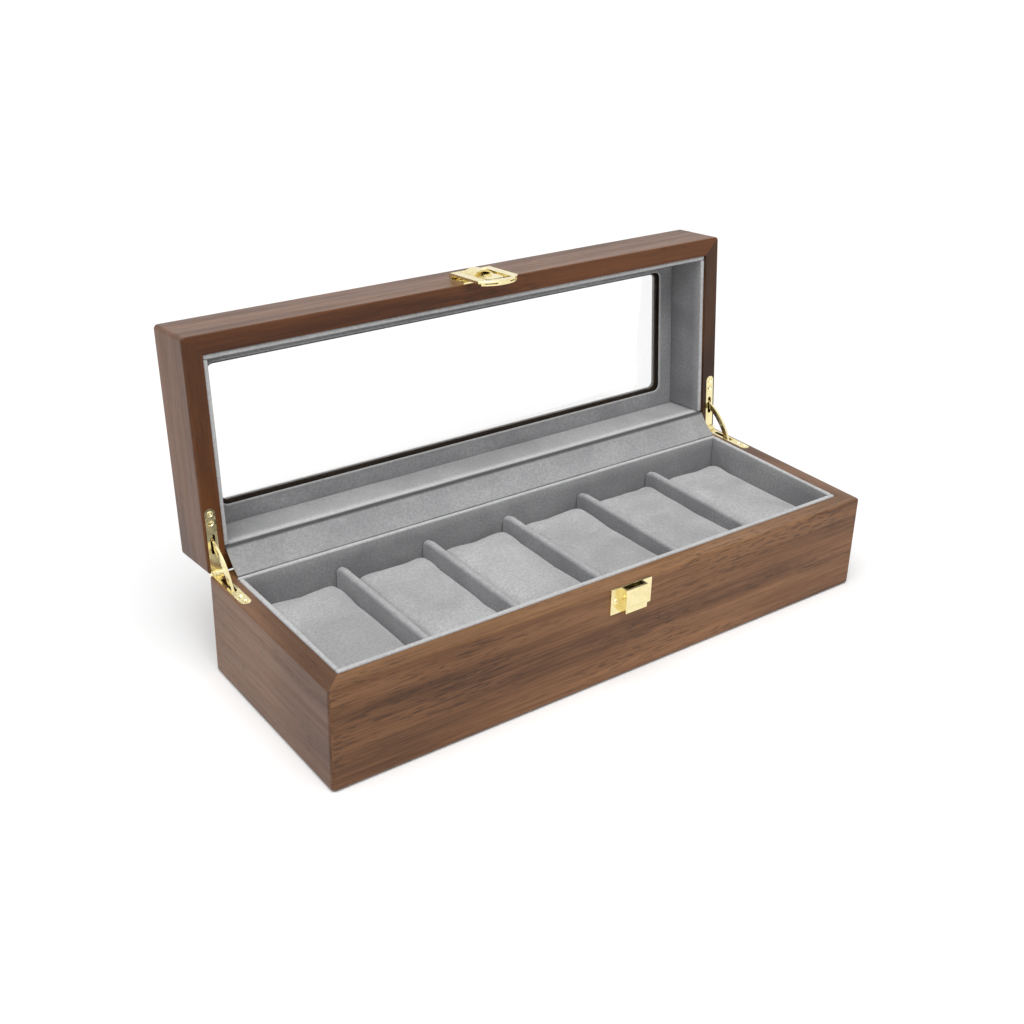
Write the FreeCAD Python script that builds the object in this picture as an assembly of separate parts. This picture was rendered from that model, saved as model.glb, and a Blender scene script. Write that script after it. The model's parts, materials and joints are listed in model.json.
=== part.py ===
import FreeCAD, Part
import math
import os

os.makedirs("parts", exist_ok=True)

# ---- overall size, mm. X is the length, the front is -Y, Z is up ----
LENGTH = 310.0
DEPTH = 110.0
BASE_H = 50.0
LID_H = 30.0
WALL = 9.0
OPEN_DEG = 95.0
FELT = 0.8

# ---- wood carcass ----
CORNER_R = 2.0
EASE_R = 1.0
FLOOR_T = 5.0
FLOOR_REBATE = 4.0
TOP_T = 4.0
TOP_REBATE = 5.0

# ---- linings: velvet over card ----
LINING_T = 2.4
LINING_IN_X = 143.5
LINING_IN_Y = 43.5
LINING_FLOOR_T = 1.2
LINING_PROUD = 0.8
LID_LINING_SET_BACK = 1.0
TOP_CARD_T = 1.0
CARD_WINDOW_X = 135.4
CARD_WINDOW_Y = 35.0

# ---- window in the lid ----
WINDOW_X = 133.5
WINDOW_Y = 33.0
WINDOW_R = 3.0
GLASS_T = 2.0
GLASS_REBATE = 3.5
GLASS_GAP = 0.2

# ---- six bays ----
BAYS = 6
DIVIDER_T = 4.0
DIVIDER_TOP = 43.3
DIVIDER_END_R = 5.0
PILLOW_W = 42.6
PILLOW_Y = 39.0
PILLOW_TOP = 40.3
PILLOW_R = 5.0
PILLOW_GAP = 0.2

# ---- quadrant hinges at both ends of the back ----
HINGE_X = 151.2
LEAF_W = 5.0
LEAF_T = 1.2
LEAF_LEN = 31.5
LEAF_GAP = 0.05
RECESS_FIT = 0.05
BARREL_R = 2.0
BARREL_HALF = 2.75
KNUCKLE_HALF = 0.95
KNUCKLE_GAP = 0.1
PIN_R = 0.8
SLOT_W = 2.4
SLOT_FAR = 19.2
BASE_SLOT_NEAR = 5.7
LID_SLOT_NEAR = 9.6
HINGE_SCREWS = (24.6, 29.0)
HINGE_SCREW_HEAD_R = 1.4
POCKET_W = 3.0
POCKET_DEEP = 19.5
POCKET_NEAR = 5.5
POCKET_FAR = 23.2
STAY_T = 1.2
STAY_HALF_W = 1.5
STAY_END_E = 8.2
STAY_BULGE = 3.5
HEAD_NEAR = 13.9
HEAD_FAR = 20.9
HEAD_TOP = 1.35
HEAD_BOTTOM = 3.4

# ---- cloth that covers the back joint ----
CLOTH_HALF_X = 145.6
CLOTH_T = 0.8

# ---- catch on the base front ----
CATCH_HALF_W = 12.0
CATCH_Z0 = 36.5
CATCH_Z1 = 49.5
PLATE_T = 0.8
CHANNEL_HALF_W = 6.3
CHANNEL_OUT = 4.8
CHANNEL_WALL = 0.8
CHANNEL_FRONT = 1.0
CHANNEL_Z0 = 37.0

# ---- hasp on the lid front, drawn with the lid shut ----
HASP_HALF_W = 11.5
HASP_T = 1.2
HASP_OUT = 2.4
HASP_PIN_Z = 62.2
HASP_PIN_OUT = 2.0
HASP_KNUCKLE_R = 1.6
HASP_PIN_R = 0.7
HASP_WINDOW_HALF = 6.9
HASP_WINDOW_Z0 = 36.7
HASP_WINDOW_Z1 = 59.6
HASP_END_Z = 33.0
HASP_END_R = 15.0
HASP_RIM_DEEP = 1.0
HASP_RIM_T = 1.0
HASP_RIM_SLOT = 0.6
HASP_PLATE_Z0 = 50.6
DOME_HALF_W = 5.7
DOME_Z0 = 51.2
DOME_Z1 = 60.0
DOME_OUT = 5.2
DOME_SIDE_OUT = 3.2
DOME_WALL = 0.8
DOME_MOUTH = 3.5
TONGUE_HALF_W = 4.7
TONGUE_Z0 = 40.0
TONGUE_OUT = 2.2
TONGUE_T = 1.0
FACE_SCREW_X = 9.0
CATCH_SCREW_Z = 43.0
HASP_SCREW_Z = 56.0

# ---- derived ----
HX = LENGTH / 2.0
HY = DEPTH / 2.0
IN_X = HX - WALL
IN_Y = HY - WALL
TOTAL_H = BASE_H + LID_H
FLOOR_TOP = FELT + FLOOR_T
INSIDE_Z = FLOOR_TOP + LINING_FLOOR_T
PITCH = 2.0 * LINING_IN_X / BAYS
AXIS_Y = HY
AXIS_Z = BASE_H
X_DIR = FreeCAD.Vector(1, 0, 0)
Y_DIR = FreeCAD.Vector(0, 1, 0)
Z_DIR = FreeCAD.Vector(0, 0, 1)


def vec(x, y, z):
    return FreeCAD.Vector(x, y, z)


def block(x0, x1, y0, y1, z0, z1):
    """Box between two corners."""
    return Part.makeBox(x1 - x0, y1 - y0, z1 - z0, vec(x0, y0, z0))


def rod_x(x0, x1, y, z, r):
    """Cylinder along X."""
    return Part.makeCylinder(r, x1 - x0, vec(x0, y, z), X_DIR)


def prism_z(points, z0, z1):
    """Upright prism on a closed XY outline."""
    wire = Part.makePolygon([vec(x, y, z0) for x, y in points + points[:1]])
    return Part.Face(wire).extrude(vec(0, 0, z1 - z0))


def prism_x(points, x0, x1):
    """Prism along X on a closed YZ outline."""
    wire = Part.makePolygon([vec(x0, y, z) for y, z in points + points[:1]])
    return Part.Face(wire).extrude(vec(x1 - x0, 0, 0))


def edges_where(shape, test):
    """Edges whose every vertex passes the test."""
    found = []
    for edge in shape.Edges:
        if all(test(vertex.Point) for vertex in edge.Vertexes):
            found.append(edge)
    return found


def edges_along(shape, axis):
    """Straight edges parallel to one axis: 0, 1 or 2."""
    found = []
    for edge in shape.Edges:
        if len(edge.Vertexes) != 2:
            continue
        span = edge.Vertexes[1].Point - edge.Vertexes[0].Point
        others = [abs(span[i]) for i in range(3) if i != axis]
        if max(others) < 1e-6 and abs(span[axis]) > 1e-6:
            found.append(edge)
    return found


def rounded_plate(half_x, half_y, z0, z1, r):
    """Flat plate, centred on the origin in plan, with rounded corners."""
    plate = block(-half_x, half_x, -half_y, half_y, z0, z1)
    return plate.makeFillet(r, edges_along(plate, 2))


def turn_lid(shape):
    """Turn a shape drawn with the lid shut to the open rest pose."""
    turned = shape.copy()
    turned.rotate(vec(0, AXIS_Y, AXIS_Z), vec(-1, 0, 0), OPEN_DEG)
    return turned


def mirror_x(shape):
    return shape.mirror(vec(0, 0, 0), X_DIR)


def both_ends(shape):
    """The shape and its mirror image, as separate solids."""
    return Part.makeCompound([shape, mirror_x(shape)])


def cut_all(shape, tools):
    for tool in tools:
        shape = shape.cut(tool)
    return shape


NODES = {}


def put(name, shape):
    NODES[name] = shape


# ------------------------------------------------------------------
# wood carcasses, each split along its mitres into four walls
# ------------------------------------------------------------------
def carcass(z0, z1):
    """Closed ring of wall with eased outer edges."""
    outer = block(-HX, HX, -HY, HY, z0, z1)
    outer = outer.makeFillet(CORNER_R, edges_along(outer, 2))
    rims = edges_where(outer, lambda p: abs(p.z - z0) < 1e-6)
    rims += edges_where(outer, lambda p: abs(p.z - z1) < 1e-6)
    outer = outer.makeFillet(EASE_R, rims)
    return outer.cut(block(-IN_X, IN_X, -IN_Y, IN_Y, z0 - 1, z1 + 1))


def mitre_wedges(z0, z1):
    """Name of each wall and the prism that keeps only that wall."""
    ox = HX + 5.0
    oy = HY + 5.0
    step = 34.0
    ix = ox - step
    iy = oy - step
    wedges = {}
    wedges["front"] = prism_z([(-ox, -oy), (ox, -oy), (ix, -iy), (-ix, -iy)], z0, z1)
    wedges["rear"] = prism_z([(-ox, oy), (-ix, iy), (ix, iy), (ox, oy)], z0, z1)
    wedges["left"] = prism_z([(-ox, -oy), (-ix, -iy), (-ix, iy), (-ox, oy)], z0, z1)
    wedges["right"] = prism_z([(ox, -oy), (ox, oy), (ix, iy), (ix, -iy)], z0, z1)
    return wedges


# ------------------------------------------------------------------
# hinge pieces for the +X end; the -X end is their mirror image
# ------------------------------------------------------------------
def leaf_blank(z0, z1, grow=0.0):
    """Leaf outline: square at the barrel, round at the far end."""
    half = LEAF_W / 2.0 + grow
    end_y = AXIS_Y - LEAF_LEN + LEAF_W / 2.0
    plate = block(HINGE_X - half, HINGE_X + half, end_y, AXIS_Y, z0, z1)
    nose = Part.makeCylinder(half, z1 - z0, vec(HINGE_X, end_y, z0), Z_DIR)
    return plate.fuse(nose).removeSplitter()


def leaf_slot(near, z0, z1):
    """Round-ended slot the stay slides in."""
    r = SLOT_W / 2.0
    y_far = AXIS_Y - SLOT_FAR + r
    y_near = AXIS_Y - near - r
    slot = block(HINGE_X - r, HINGE_X + r, y_far, y_near, z0, z1)
    for y in (y_far, y_near):
        slot = slot.fuse(Part.makeCylinder(r, z1 - z0, vec(HINGE_X, y, z0), Z_DIR))
    return slot


def knuckle(x0, x1, r):
    return rod_x(x0, x1, AXIS_Y, AXIS_Z, r)


def hinge_screw(y, face_z, into):
    """Countersunk screw driven along Z from a leaf's face."""
    direction = vec(0, 0, into)
    head = Part.makeCone(HINGE_SCREW_HEAD_R, 0.7, 0.8, vec(HINGE_X, y, face_z), direction)
    shank = Part.makeCylinder(0.7, 6.0, vec(HINGE_X, y, face_z), direction)
    return head.fuse(shank).removeSplitter()


def screw_recess(y, face_z):
    """Straight cross slot in a screw head."""
    return block(HINGE_X - 1.0, HINGE_X + 1.0, y - 0.15, y + 0.15, face_z - 0.25, face_z + 0.25)


def mirror_rim(shape):
    """Mirror a base hinge piece across the rim plane to its lid twin."""
    return shape.mirror(vec(0, 0, AXIS_Z), Z_DIR)


LEAF_FACE = AXIS_Z - LEAF_GAP
LEAF_BACK = LEAF_FACE - LEAF_T
SCREW_YS = [AXIS_Y - r for r in HINGE_SCREWS]
BARREL_X0 = HINGE_X - BARREL_HALF
BARREL_X1 = HINGE_X + BARREL_HALF
MID_X0 = HINGE_X - KNUCKLE_HALF
MID_X1 = HINGE_X + KNUCKLE_HALF

base_screws = [hinge_screw(y, LEAF_FACE, -1) for y in SCREW_YS]
barrel_room = rod_x(BARREL_X0 - 0.2, BARREL_X1 + 0.2, AXIS_Y, AXIS_Z, BARREL_R + 0.25)
side_room = block(HINGE_X - POCKET_W / 2.0, HINGE_X + POCKET_W / 2.0,
                  AXIS_Y - POCKET_FAR, AXIS_Y - POCKET_NEAR, AXIS_Z - POCKET_DEEP, AXIS_Z + 1.0)
pocket = side_room.common(rod_x(HINGE_X - 3, HINGE_X + 3, AXIS_Y, AXIS_Z, POCKET_FAR))
rim_recess = leaf_blank(LEAF_BACK, AXIS_Z + 1.0, RECESS_FIT)

# base leaf: two outer knuckles
base_leaf = leaf_blank(LEAF_BACK, LEAF_FACE)
base_leaf = base_leaf.fuse(knuckle(BARREL_X0, MID_X0 - KNUCKLE_GAP, BARREL_R))
base_leaf = base_leaf.fuse(knuckle(MID_X1 + KNUCKLE_GAP, BARREL_X1, BARREL_R))
base_leaf = base_leaf.cut(knuckle(MID_X0 - KNUCKLE_GAP, MID_X1 + KNUCKLE_GAP, BARREL_R + 0.15))
base_leaf = base_leaf.cut(knuckle(BARREL_X0 - 1, BARREL_X1 + 1, PIN_R))
base_leaf = base_leaf.cut(leaf_slot(BASE_SLOT_NEAR, LEAF_BACK - 1, LEAF_FACE + 1))
base_leaf = cut_all(base_leaf, base_screws)

# lid leaf: one middle knuckle, which turns on the pin
lid_leaf = mirror_rim(leaf_blank(LEAF_BACK, LEAF_FACE))
lid_leaf = lid_leaf.cut(knuckle(BARREL_X0 - 1, MID_X0, BARREL_R + 0.15))
lid_leaf = lid_leaf.cut(knuckle(MID_X1, BARREL_X1 + 1, BARREL_R + 0.15))
lid_leaf = lid_leaf.fuse(knuckle(MID_X0, MID_X1, BARREL_R))
lid_leaf = lid_leaf.cut(knuckle(MID_X0 - 1, MID_X1 + 1, PIN_R + 0.05))
lid_leaf = lid_leaf.cut(mirror_rim(leaf_slot(LID_SLOT_NEAR, LEAF_BACK - 1, LEAF_FACE + 1)))
lid_screws = [mirror_rim(screw) for screw in base_screws]
lid_leaf = cut_all(lid_leaf, lid_screws)

put("hinge_leaf_base_right", base_leaf)
put("hinge_leaf_base_left", mirror_x(base_leaf))
put("hinge_leaf_lid_right", turn_lid(lid_leaf))
put("hinge_leaf_lid_left", turn_lid(mirror_x(lid_leaf)))
put("hinge_pins", both_ends(knuckle(BARREL_X0 - 0.1, BARREL_X1 + 0.1, PIN_R)))

slotted_base = []
for y, screw in zip(SCREW_YS, base_screws):
    slotted_base.append(screw.cut(screw_recess(y, LEAF_FACE)))
slotted_lid = [mirror_rim(screw) for screw in slotted_base]
all_base_screws = slotted_base + [mirror_x(screw) for screw in slotted_base]
all_lid_screws = slotted_lid + [mirror_x(screw) for screw in slotted_lid]
put("hinge_screws_base", Part.makeCompound(all_base_screws))
put("hinge_screws_lid", turn_lid(Part.makeCompound(all_lid_screws)))


# ------------------------------------------------------------------
# curved stay: floats through both leaves, halfway between base and lid
# ------------------------------------------------------------------
def stay_point(e, t):
    """Point from the half-angle frame, open pose: e away from the pin, t towards the lid."""
    half = math.radians(OPEN_DEG / 2.0)
    y = AXIS_Y - e * math.cos(half) + t * math.sin(half)
    z = AXIS_Z + e * math.sin(half) + t * math.cos(half)
    return (y, z)


def rim_point(r, depth, side):
    """Point under a leaf, in the half-angle frame; side -1 is the base, 1 the lid."""
    half = math.radians(OPEN_DEG / 2.0)
    e = r * math.cos(half) - depth * math.sin(half)
    t = r * math.sin(half) + depth * math.cos(half)
    return stay_point(e, side * t)


def build_stay():
    """Bowed flat bar with a hooked head at each end."""
    span = 14.6
    steps = 20
    outer = []
    inner = []
    for i in range(steps + 1):
        t = -span + 2.0 * span * i / steps
        e = STAY_END_E + STAY_BULGE * (1.0 - (t / span) ** 2)
        outer.append(stay_point(e + STAY_HALF_W, t))
        inner.append(stay_point(e - STAY_HALF_W, t))
    x0 = HINGE_X - STAY_T / 2.0
    x1 = HINGE_X + STAY_T / 2.0
    stay = prism_x(outer + inner[::-1], x0, x1)
    for side in (-1, 1):
        neck = [rim_point(14.1, 0.6, side), rim_point(16.7, 0.6, side)]
        neck += [rim_point(17.3, HEAD_TOP + 0.4, side), rim_point(14.5, HEAD_TOP + 0.4, side)]
        head = [rim_point(HEAD_NEAR, HEAD_TOP, side), rim_point(HEAD_FAR, HEAD_TOP, side)]
        head += [rim_point(HEAD_FAR, HEAD_BOTTOM, side), rim_point(HEAD_NEAR, HEAD_BOTTOM, side)]
        stay = stay.fuse(prism_x(neck, x0, x1))
        stay = stay.fuse(prism_x(head, x0, x1))
    return stay.removeSplitter()


stay = build_stay()
put("hinge_stay_right", stay)
put("hinge_stay_left", mirror_x(stay))


# ------------------------------------------------------------------
# catch and hasp
# ------------------------------------------------------------------
FACE_Y = -HY
PLATE_Y = FACE_Y - PLATE_T


def face_screw(x, z, z_shift=0.0):
    """Round-headed screw driven into a front face through a plate."""
    head = Part.makeCylinder(1.5, 0.5, vec(x, PLATE_Y - 0.5, z + z_shift), Y_DIR)
    head = head.makeFillet(0.4, edges_where(head, lambda p: p.y < PLATE_Y - 0.4))
    shank = Part.makeCylinder(0.8, 6.0, vec(x, PLATE_Y, z + z_shift), Y_DIR)
    return head.fuse(shank)


def slot_cut(x, z):
    return block(x - 1.1, x + 1.1, PLATE_Y - 0.7, PLATE_Y - 0.3, z - 0.2, z + 0.2)


catch_screws = [face_screw(x, CATCH_SCREW_Z) for x in (-FACE_SCREW_X, FACE_SCREW_X)]
hasp_screws = [face_screw(x, HASP_SCREW_Z) for x in (-FACE_SCREW_X, FACE_SCREW_X)]

channel_out_y = FACE_Y - CHANNEL_OUT
plate = block(-CATCH_HALF_W, CATCH_HALF_W, PLATE_Y, FACE_Y, CATCH_Z0, CATCH_Z1)
plate = plate.makeFillet(0.6, edges_along(plate, 1))
channel = block(-CHANNEL_HALF_W, CHANNEL_HALF_W, channel_out_y, PLATE_Y, CHANNEL_Z0, CATCH_Z1)
channel = channel.makeFillet(0.7, edges_where(channel, lambda p: p.y < PLATE_Y - 0.1 and p.z < CATCH_Z0 + 1))
hollow_half = CHANNEL_HALF_W - CHANNEL_WALL
hollow = block(-hollow_half, hollow_half, channel_out_y + CHANNEL_FRONT, PLATE_Y,
               CHANNEL_Z0 + 1.0, CATCH_Z1 + 1.0)
catch = plate.fuse(channel.cut(hollow)).removeSplitter()
put("catch_plate", cut_all(catch, catch_screws))
put("catch_screws", Part.makeCompound([
    screw.cut(slot_cut(x, CATCH_SCREW_Z)) for x, screw in zip((-FACE_SCREW_X, FACE_SCREW_X), catch_screws)]))

PIN_Y = FACE_Y - HASP_PIN_OUT
KNUCKLE_X = CHANNEL_HALF_W - 0.4


def hasp_rod(x0, x1, r):
    return rod_x(x0, x1, PIN_Y, HASP_PIN_Z, r)


lid_plate = block(-HASP_HALF_W, HASP_HALF_W, PLATE_Y, FACE_Y, HASP_PLATE_Z0, HASP_PIN_Z)
for x0, x1 in ((-HASP_HALF_W - 1, -KNUCKLE_X), (KNUCKLE_X, HASP_HALF_W + 1)):
    lid_plate = lid_plate.cut(hasp_rod(x0, x1, HASP_KNUCKLE_R + 0.15))
lid_plate = lid_plate.fuse(hasp_rod(-KNUCKLE_X, KNUCKLE_X, HASP_KNUCKLE_R))
dome_rise = DOME_OUT - DOME_SIDE_OUT
dome_r = (DOME_HALF_W ** 2 + dome_rise ** 2) / (2.0 * dome_rise)
dome_axis = vec(0, FACE_Y - DOME_OUT + dome_r, DOME_Z0 - 5)
dome = block(-DOME_HALF_W, DOME_HALF_W, FACE_Y - DOME_OUT, PLATE_Y, DOME_Z0, DOME_Z1)
dome = dome.common(Part.makeCylinder(dome_r, 20, dome_axis, vec(0, 0, 1)))
mouth_half = DOME_HALF_W - DOME_WALL
mouth = block(-mouth_half, mouth_half, FACE_Y - DOME_OUT, FACE_Y - TONGUE_OUT - TONGUE_T,
              DOME_Z0 - 1, DOME_Z0 + DOME_MOUTH)
mouth = mouth.common(Part.makeCylinder(dome_r - DOME_WALL, 20, dome_axis, vec(0, 0, 1)))
lid_plate = lid_plate.fuse(dome.cut(mouth))
tongue_y = FACE_Y - TONGUE_OUT
tongue = block(-TONGUE_HALF_W, TONGUE_HALF_W, tongue_y - TONGUE_T, tongue_y, TONGUE_Z0, DOME_Z0 + 1.0)
tongue = tongue.makeFillet(1.5, [e for e in edges_along(tongue, 1) if e.Vertexes[0].Z < TONGUE_Z0 + 0.1])
arrow = block(-1.5, 1.5, tongue_y - 2.0, tongue_y + 1.0, 44.6, 49.4)
lid_plate = lid_plate.fuse(tongue.cut(arrow))
lid_plate = lid_plate.cut(hasp_rod(-HASP_HALF_W - 1, HASP_HALF_W + 1, HASP_PIN_R))
put("hasp_plate", turn_lid(cut_all(lid_plate.removeSplitter(), hasp_screws)))
put("hasp_plate_screws", turn_lid(Part.makeCompound([
    screw.cut(slot_cut(x, HASP_SCREW_Z)) for x, screw in zip((-FACE_SCREW_X, FACE_SCREW_X), hasp_screws)])))
put("hasp_pin", turn_lid(hasp_rod(-HASP_HALF_W, HASP_HALF_W, HASP_PIN_R)))

hasp_back = FACE_Y - HASP_OUT
hasp_front = hasp_back - HASP_T
rim_back = hasp_back + HASP_RIM_DEEP
end_axis = vec(0, hasp_front - 1, HASP_END_Z + HASP_END_R)
end_disc = Part.makeCylinder(HASP_END_R, 6, end_axis, vec(0, 1, 0))
end_core = Part.makeCylinder(HASP_END_R - HASP_RIM_T, 6, end_axis, vec(0, 1, 0))
hasp_top = block(-HASP_HALF_W, HASP_HALF_W, hasp_front, hasp_back, HASP_END_Z + HASP_END_R, HASP_PIN_Z)
hasp_foot = block(-HASP_HALF_W, HASP_HALF_W, hasp_front, hasp_back, HASP_END_Z - 1, HASP_END_Z + HASP_END_R)
rim_room = block(-HASP_HALF_W, HASP_HALF_W, hasp_front, rim_back, HASP_END_Z - 1, HASP_WINDOW_Z0 + 0.6)
hasp = hasp_top.fuse(hasp_foot.common(end_disc))
hasp = hasp.cut(block(-HASP_WINDOW_HALF, HASP_WINDOW_HALF, hasp_front - 1, hasp_back + 1,
                      HASP_WINDOW_Z0, HASP_WINDOW_Z1 + 6))
hasp = hasp.fuse(rim_room.common(end_disc.cut(end_core))).removeSplitter()
slot_ring = Part.makeCylinder(HASP_END_R + 0.5, 6, end_axis, vec(0, 1, 0)).cut(end_core)
for x0, x1 in ((-9.6, -3.4), (3.4, 9.6)):
    hasp = hasp.cut(slot_ring.common(block(x0, x1, hasp_back - HASP_RIM_SLOT / 2.0, hasp_back + HASP_RIM_SLOT / 2.0,
                                           HASP_END_Z - 1, HASP_WINDOW_Z0)))
hasp = hasp.makeFillet(0.3, [e for e in hasp.Edges if e.BoundBox.YMax < hasp_front + 0.01
                             and e.BoundBox.ZMin < HASP_END_Z + 0.5])
for x0, x1 in ((-HASP_HALF_W, -KNUCKLE_X - 0.2), (KNUCKLE_X + 0.2, HASP_HALF_W)):
    hasp = hasp.fuse(hasp_rod(x0, x1, HASP_KNUCKLE_R))
hasp = hasp.cut(hasp_rod(-HASP_HALF_W - 1, HASP_HALF_W + 1, HASP_PIN_R + 0.05))
put("hasp", turn_lid(hasp.removeSplitter()))


# ------------------------------------------------------------------
# base
# ------------------------------------------------------------------
hinge_cuts = [both_ends(rim_recess), both_ends(pocket), both_ends(barrel_room)]
for screw in base_screws:
    hinge_cuts.append(both_ends(screw))
base_ring = carcass(FELT, BASE_H)
rebate_x = IN_X + FLOOR_REBATE
rebate_y = IN_Y + FLOOR_REBATE
base_ring = base_ring.cut(block(-rebate_x, rebate_x, -rebate_y, rebate_y, FELT - 1, FLOOR_TOP))
base_ring = cut_all(base_ring, hinge_cuts + catch_screws)
for side, wedge in mitre_wedges(FELT - 1, BASE_H + 1).items():
    put("base_" + side + "_wall", base_ring.common(wedge))

put("base_floor", block(-rebate_x, rebate_x, -rebate_y, rebate_y, FELT, FLOOR_TOP))
put("base_underlay", rounded_plate(HX - 3.0, HY - 3.0, 0.0, FELT, CORNER_R))

LX = LINING_IN_X + LINING_T
LY = LINING_IN_Y + LINING_T
base_top = BASE_H + LINING_PROUD


def lining_board(x0, x1, y0, y1, z0, z1, soft_z):
    """Card board wrapped in velvet, its rim edge softened."""
    board = block(x0, x1, y0, y1, z0, z1)
    rim = edges_where(board, lambda p: abs(p.z - soft_z) < 1e-6)
    return board.makeFillet(0.7, rim)


def lining_set(z0, z1, soft_z):
    """Four boards that line a carcass."""
    boards = {}
    boards["front"] = lining_board(-LX, LX, -LY, -LINING_IN_Y, z0, z1, soft_z)
    boards["rear"] = lining_board(-LX, LX, LINING_IN_Y, LY, z0, z1, soft_z)
    boards["left"] = lining_board(-LX, -LINING_IN_X, -LINING_IN_Y, LINING_IN_Y, z0, z1, soft_z)
    boards["right"] = lining_board(LINING_IN_X, LX, -LINING_IN_Y, LINING_IN_Y, z0, z1, soft_z)
    return boards


put("base_lining_floor", block(-LX, LX, -LY, LY, FLOOR_TOP, INSIDE_Z))
for side, board in lining_set(INSIDE_Z, base_top, base_top).items():
    put("base_lining_" + side, board)

# dividers: rounded along the top, with rounded top corners
for i in range(1, BAYS):
    x = -LINING_IN_X + i * PITCH
    half = DIVIDER_T / 2.0
    divider = block(x - half, x + half, -LINING_IN_Y, LINING_IN_Y, INSIDE_Z, DIVIDER_TOP)
    corners = [e for e in edges_along(divider, 0) if e.Vertexes[0].Z > DIVIDER_TOP - 0.1]
    divider = divider.makeFillet(DIVIDER_END_R, corners)
    tops = edges_where(divider, lambda p: p.z > DIVIDER_TOP - DIVIDER_END_R - 0.1)
    tops = [e for e in tops if abs(e.Vertexes[0].X - e.Vertexes[-1].X) < 1e-6]
    put("divider_%d" % i, divider.makeFillet(half * 0.9, tops))

# pillows: one soft block in each bay
bay_edges = [-LINING_IN_X]
for i in range(1, BAYS):
    bay_edges.append(-LINING_IN_X + i * PITCH)
bay_edges.append(LINING_IN_X)
for i in range(BAYS):
    low = bay_edges[i] + (DIVIDER_T / 2.0 if i > 0 else 0.0)
    high = bay_edges[i + 1] - (DIVIDER_T / 2.0 if i < BAYS - 1 else 0.0)
    x = (low + high) / 2.0
    half = PILLOW_W / 2.0
    pillow = block(x - half, x + half, -PILLOW_Y, PILLOW_Y, INSIDE_Z + PILLOW_GAP, PILLOW_TOP)
    put("watch_pillow_%d" % (i + 1), pillow.makeFillet(PILLOW_R, pillow.Edges))

# cloth from the base's rear lining up to the lid's rear lining, a little slack
centre_line = [(44.7, 51.2), (47.4, 52.4), (50.6, 54.6), (53.7, 57.4), (56.35, 60.85)]
front_line = []
back_line = []
for i, (y, z) in enumerate(centre_line):
    before = centre_line[max(i - 1, 0)]
    after = centre_line[min(i + 1, len(centre_line) - 1)]
    length = math.hypot(after[0] - before[0], after[1] - before[1])
    ny = -(after[1] - before[1]) / length
    nz = (after[0] - before[0]) / length
    front_line.append((y + ny * CLOTH_T / 2.0, z + nz * CLOTH_T / 2.0))
    back_line.append((y - ny * CLOTH_T / 2.0, z - nz * CLOTH_T / 2.0))
put("hinge_cloth", prism_x(front_line + back_line[::-1], -CLOTH_HALF_X, CLOTH_HALF_X))


# ------------------------------------------------------------------
# lid, drawn shut and then turned open
# ------------------------------------------------------------------
lid_ring = carcass(BASE_H, TOTAL_H)
top_x = IN_X + TOP_REBATE
top_y = IN_Y + TOP_REBATE
lid_ring = lid_ring.cut(block(-top_x, top_x, -top_y, top_y, TOTAL_H - TOP_T, TOTAL_H + 1))
lid_ring = cut_all(lid_ring, [mirror_rim(tool) for tool in hinge_cuts] + hasp_screws)
for side, wedge in mitre_wedges(BASE_H - 1, TOTAL_H + 1).items():
    put("lid_" + side + "_wall", turn_lid(lid_ring.common(wedge)))

panel_z = TOTAL_H - TOP_T
panel = block(-top_x, top_x, -top_y, top_y, panel_z, TOTAL_H)
panel = panel.cut(rounded_plate(WINDOW_X, WINDOW_Y, panel_z - 1, TOTAL_H + 1, WINDOW_R))
glass_x = WINDOW_X + GLASS_REBATE
glass_y = WINDOW_Y + GLASS_REBATE
panel = panel.cut(block(-glass_x, glass_x, -glass_y, glass_y, panel_z - 1, panel_z + GLASS_T))
put("lid_top_frame", turn_lid(panel))
glass_x -= GLASS_GAP
glass_y -= GLASS_GAP
put("lid_glass", turn_lid(block(-glass_x, glass_x, -glass_y, glass_y, panel_z, panel_z + GLASS_T)))

card_z = panel_z - TOP_CARD_T
card = block(-LX, LX, -LY, LY, card_z, panel_z)
card = card.cut(rounded_plate(CARD_WINDOW_X, CARD_WINDOW_Y, card_z - 1, panel_z + 1, WINDOW_R + 1.0))
put("lid_lining_top", turn_lid(card))
lid_low = BASE_H + LID_LINING_SET_BACK
for side, board in lining_set(lid_low, card_z, lid_low).items():
    put("lid_lining_" + side, turn_lid(board))

for name in sorted(NODES):
    shape = NODES[name]
    solids = len(shape.Solids)
    valid = shape.isValid()
    print(name, solids, "valid" if valid else "INVALID", round(shape.Volume, 2))
    shape.exportStep("parts/" + name + ".step")
print(len(NODES), "nodes")
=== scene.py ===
import json
import logging
import math
from dataclasses import dataclass, field
from enum import Enum
from typing import Callable, Iterable, Optional, Sequence

import bmesh
import bpy
from mathutils import Euler, Matrix, Vector, noise

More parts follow.
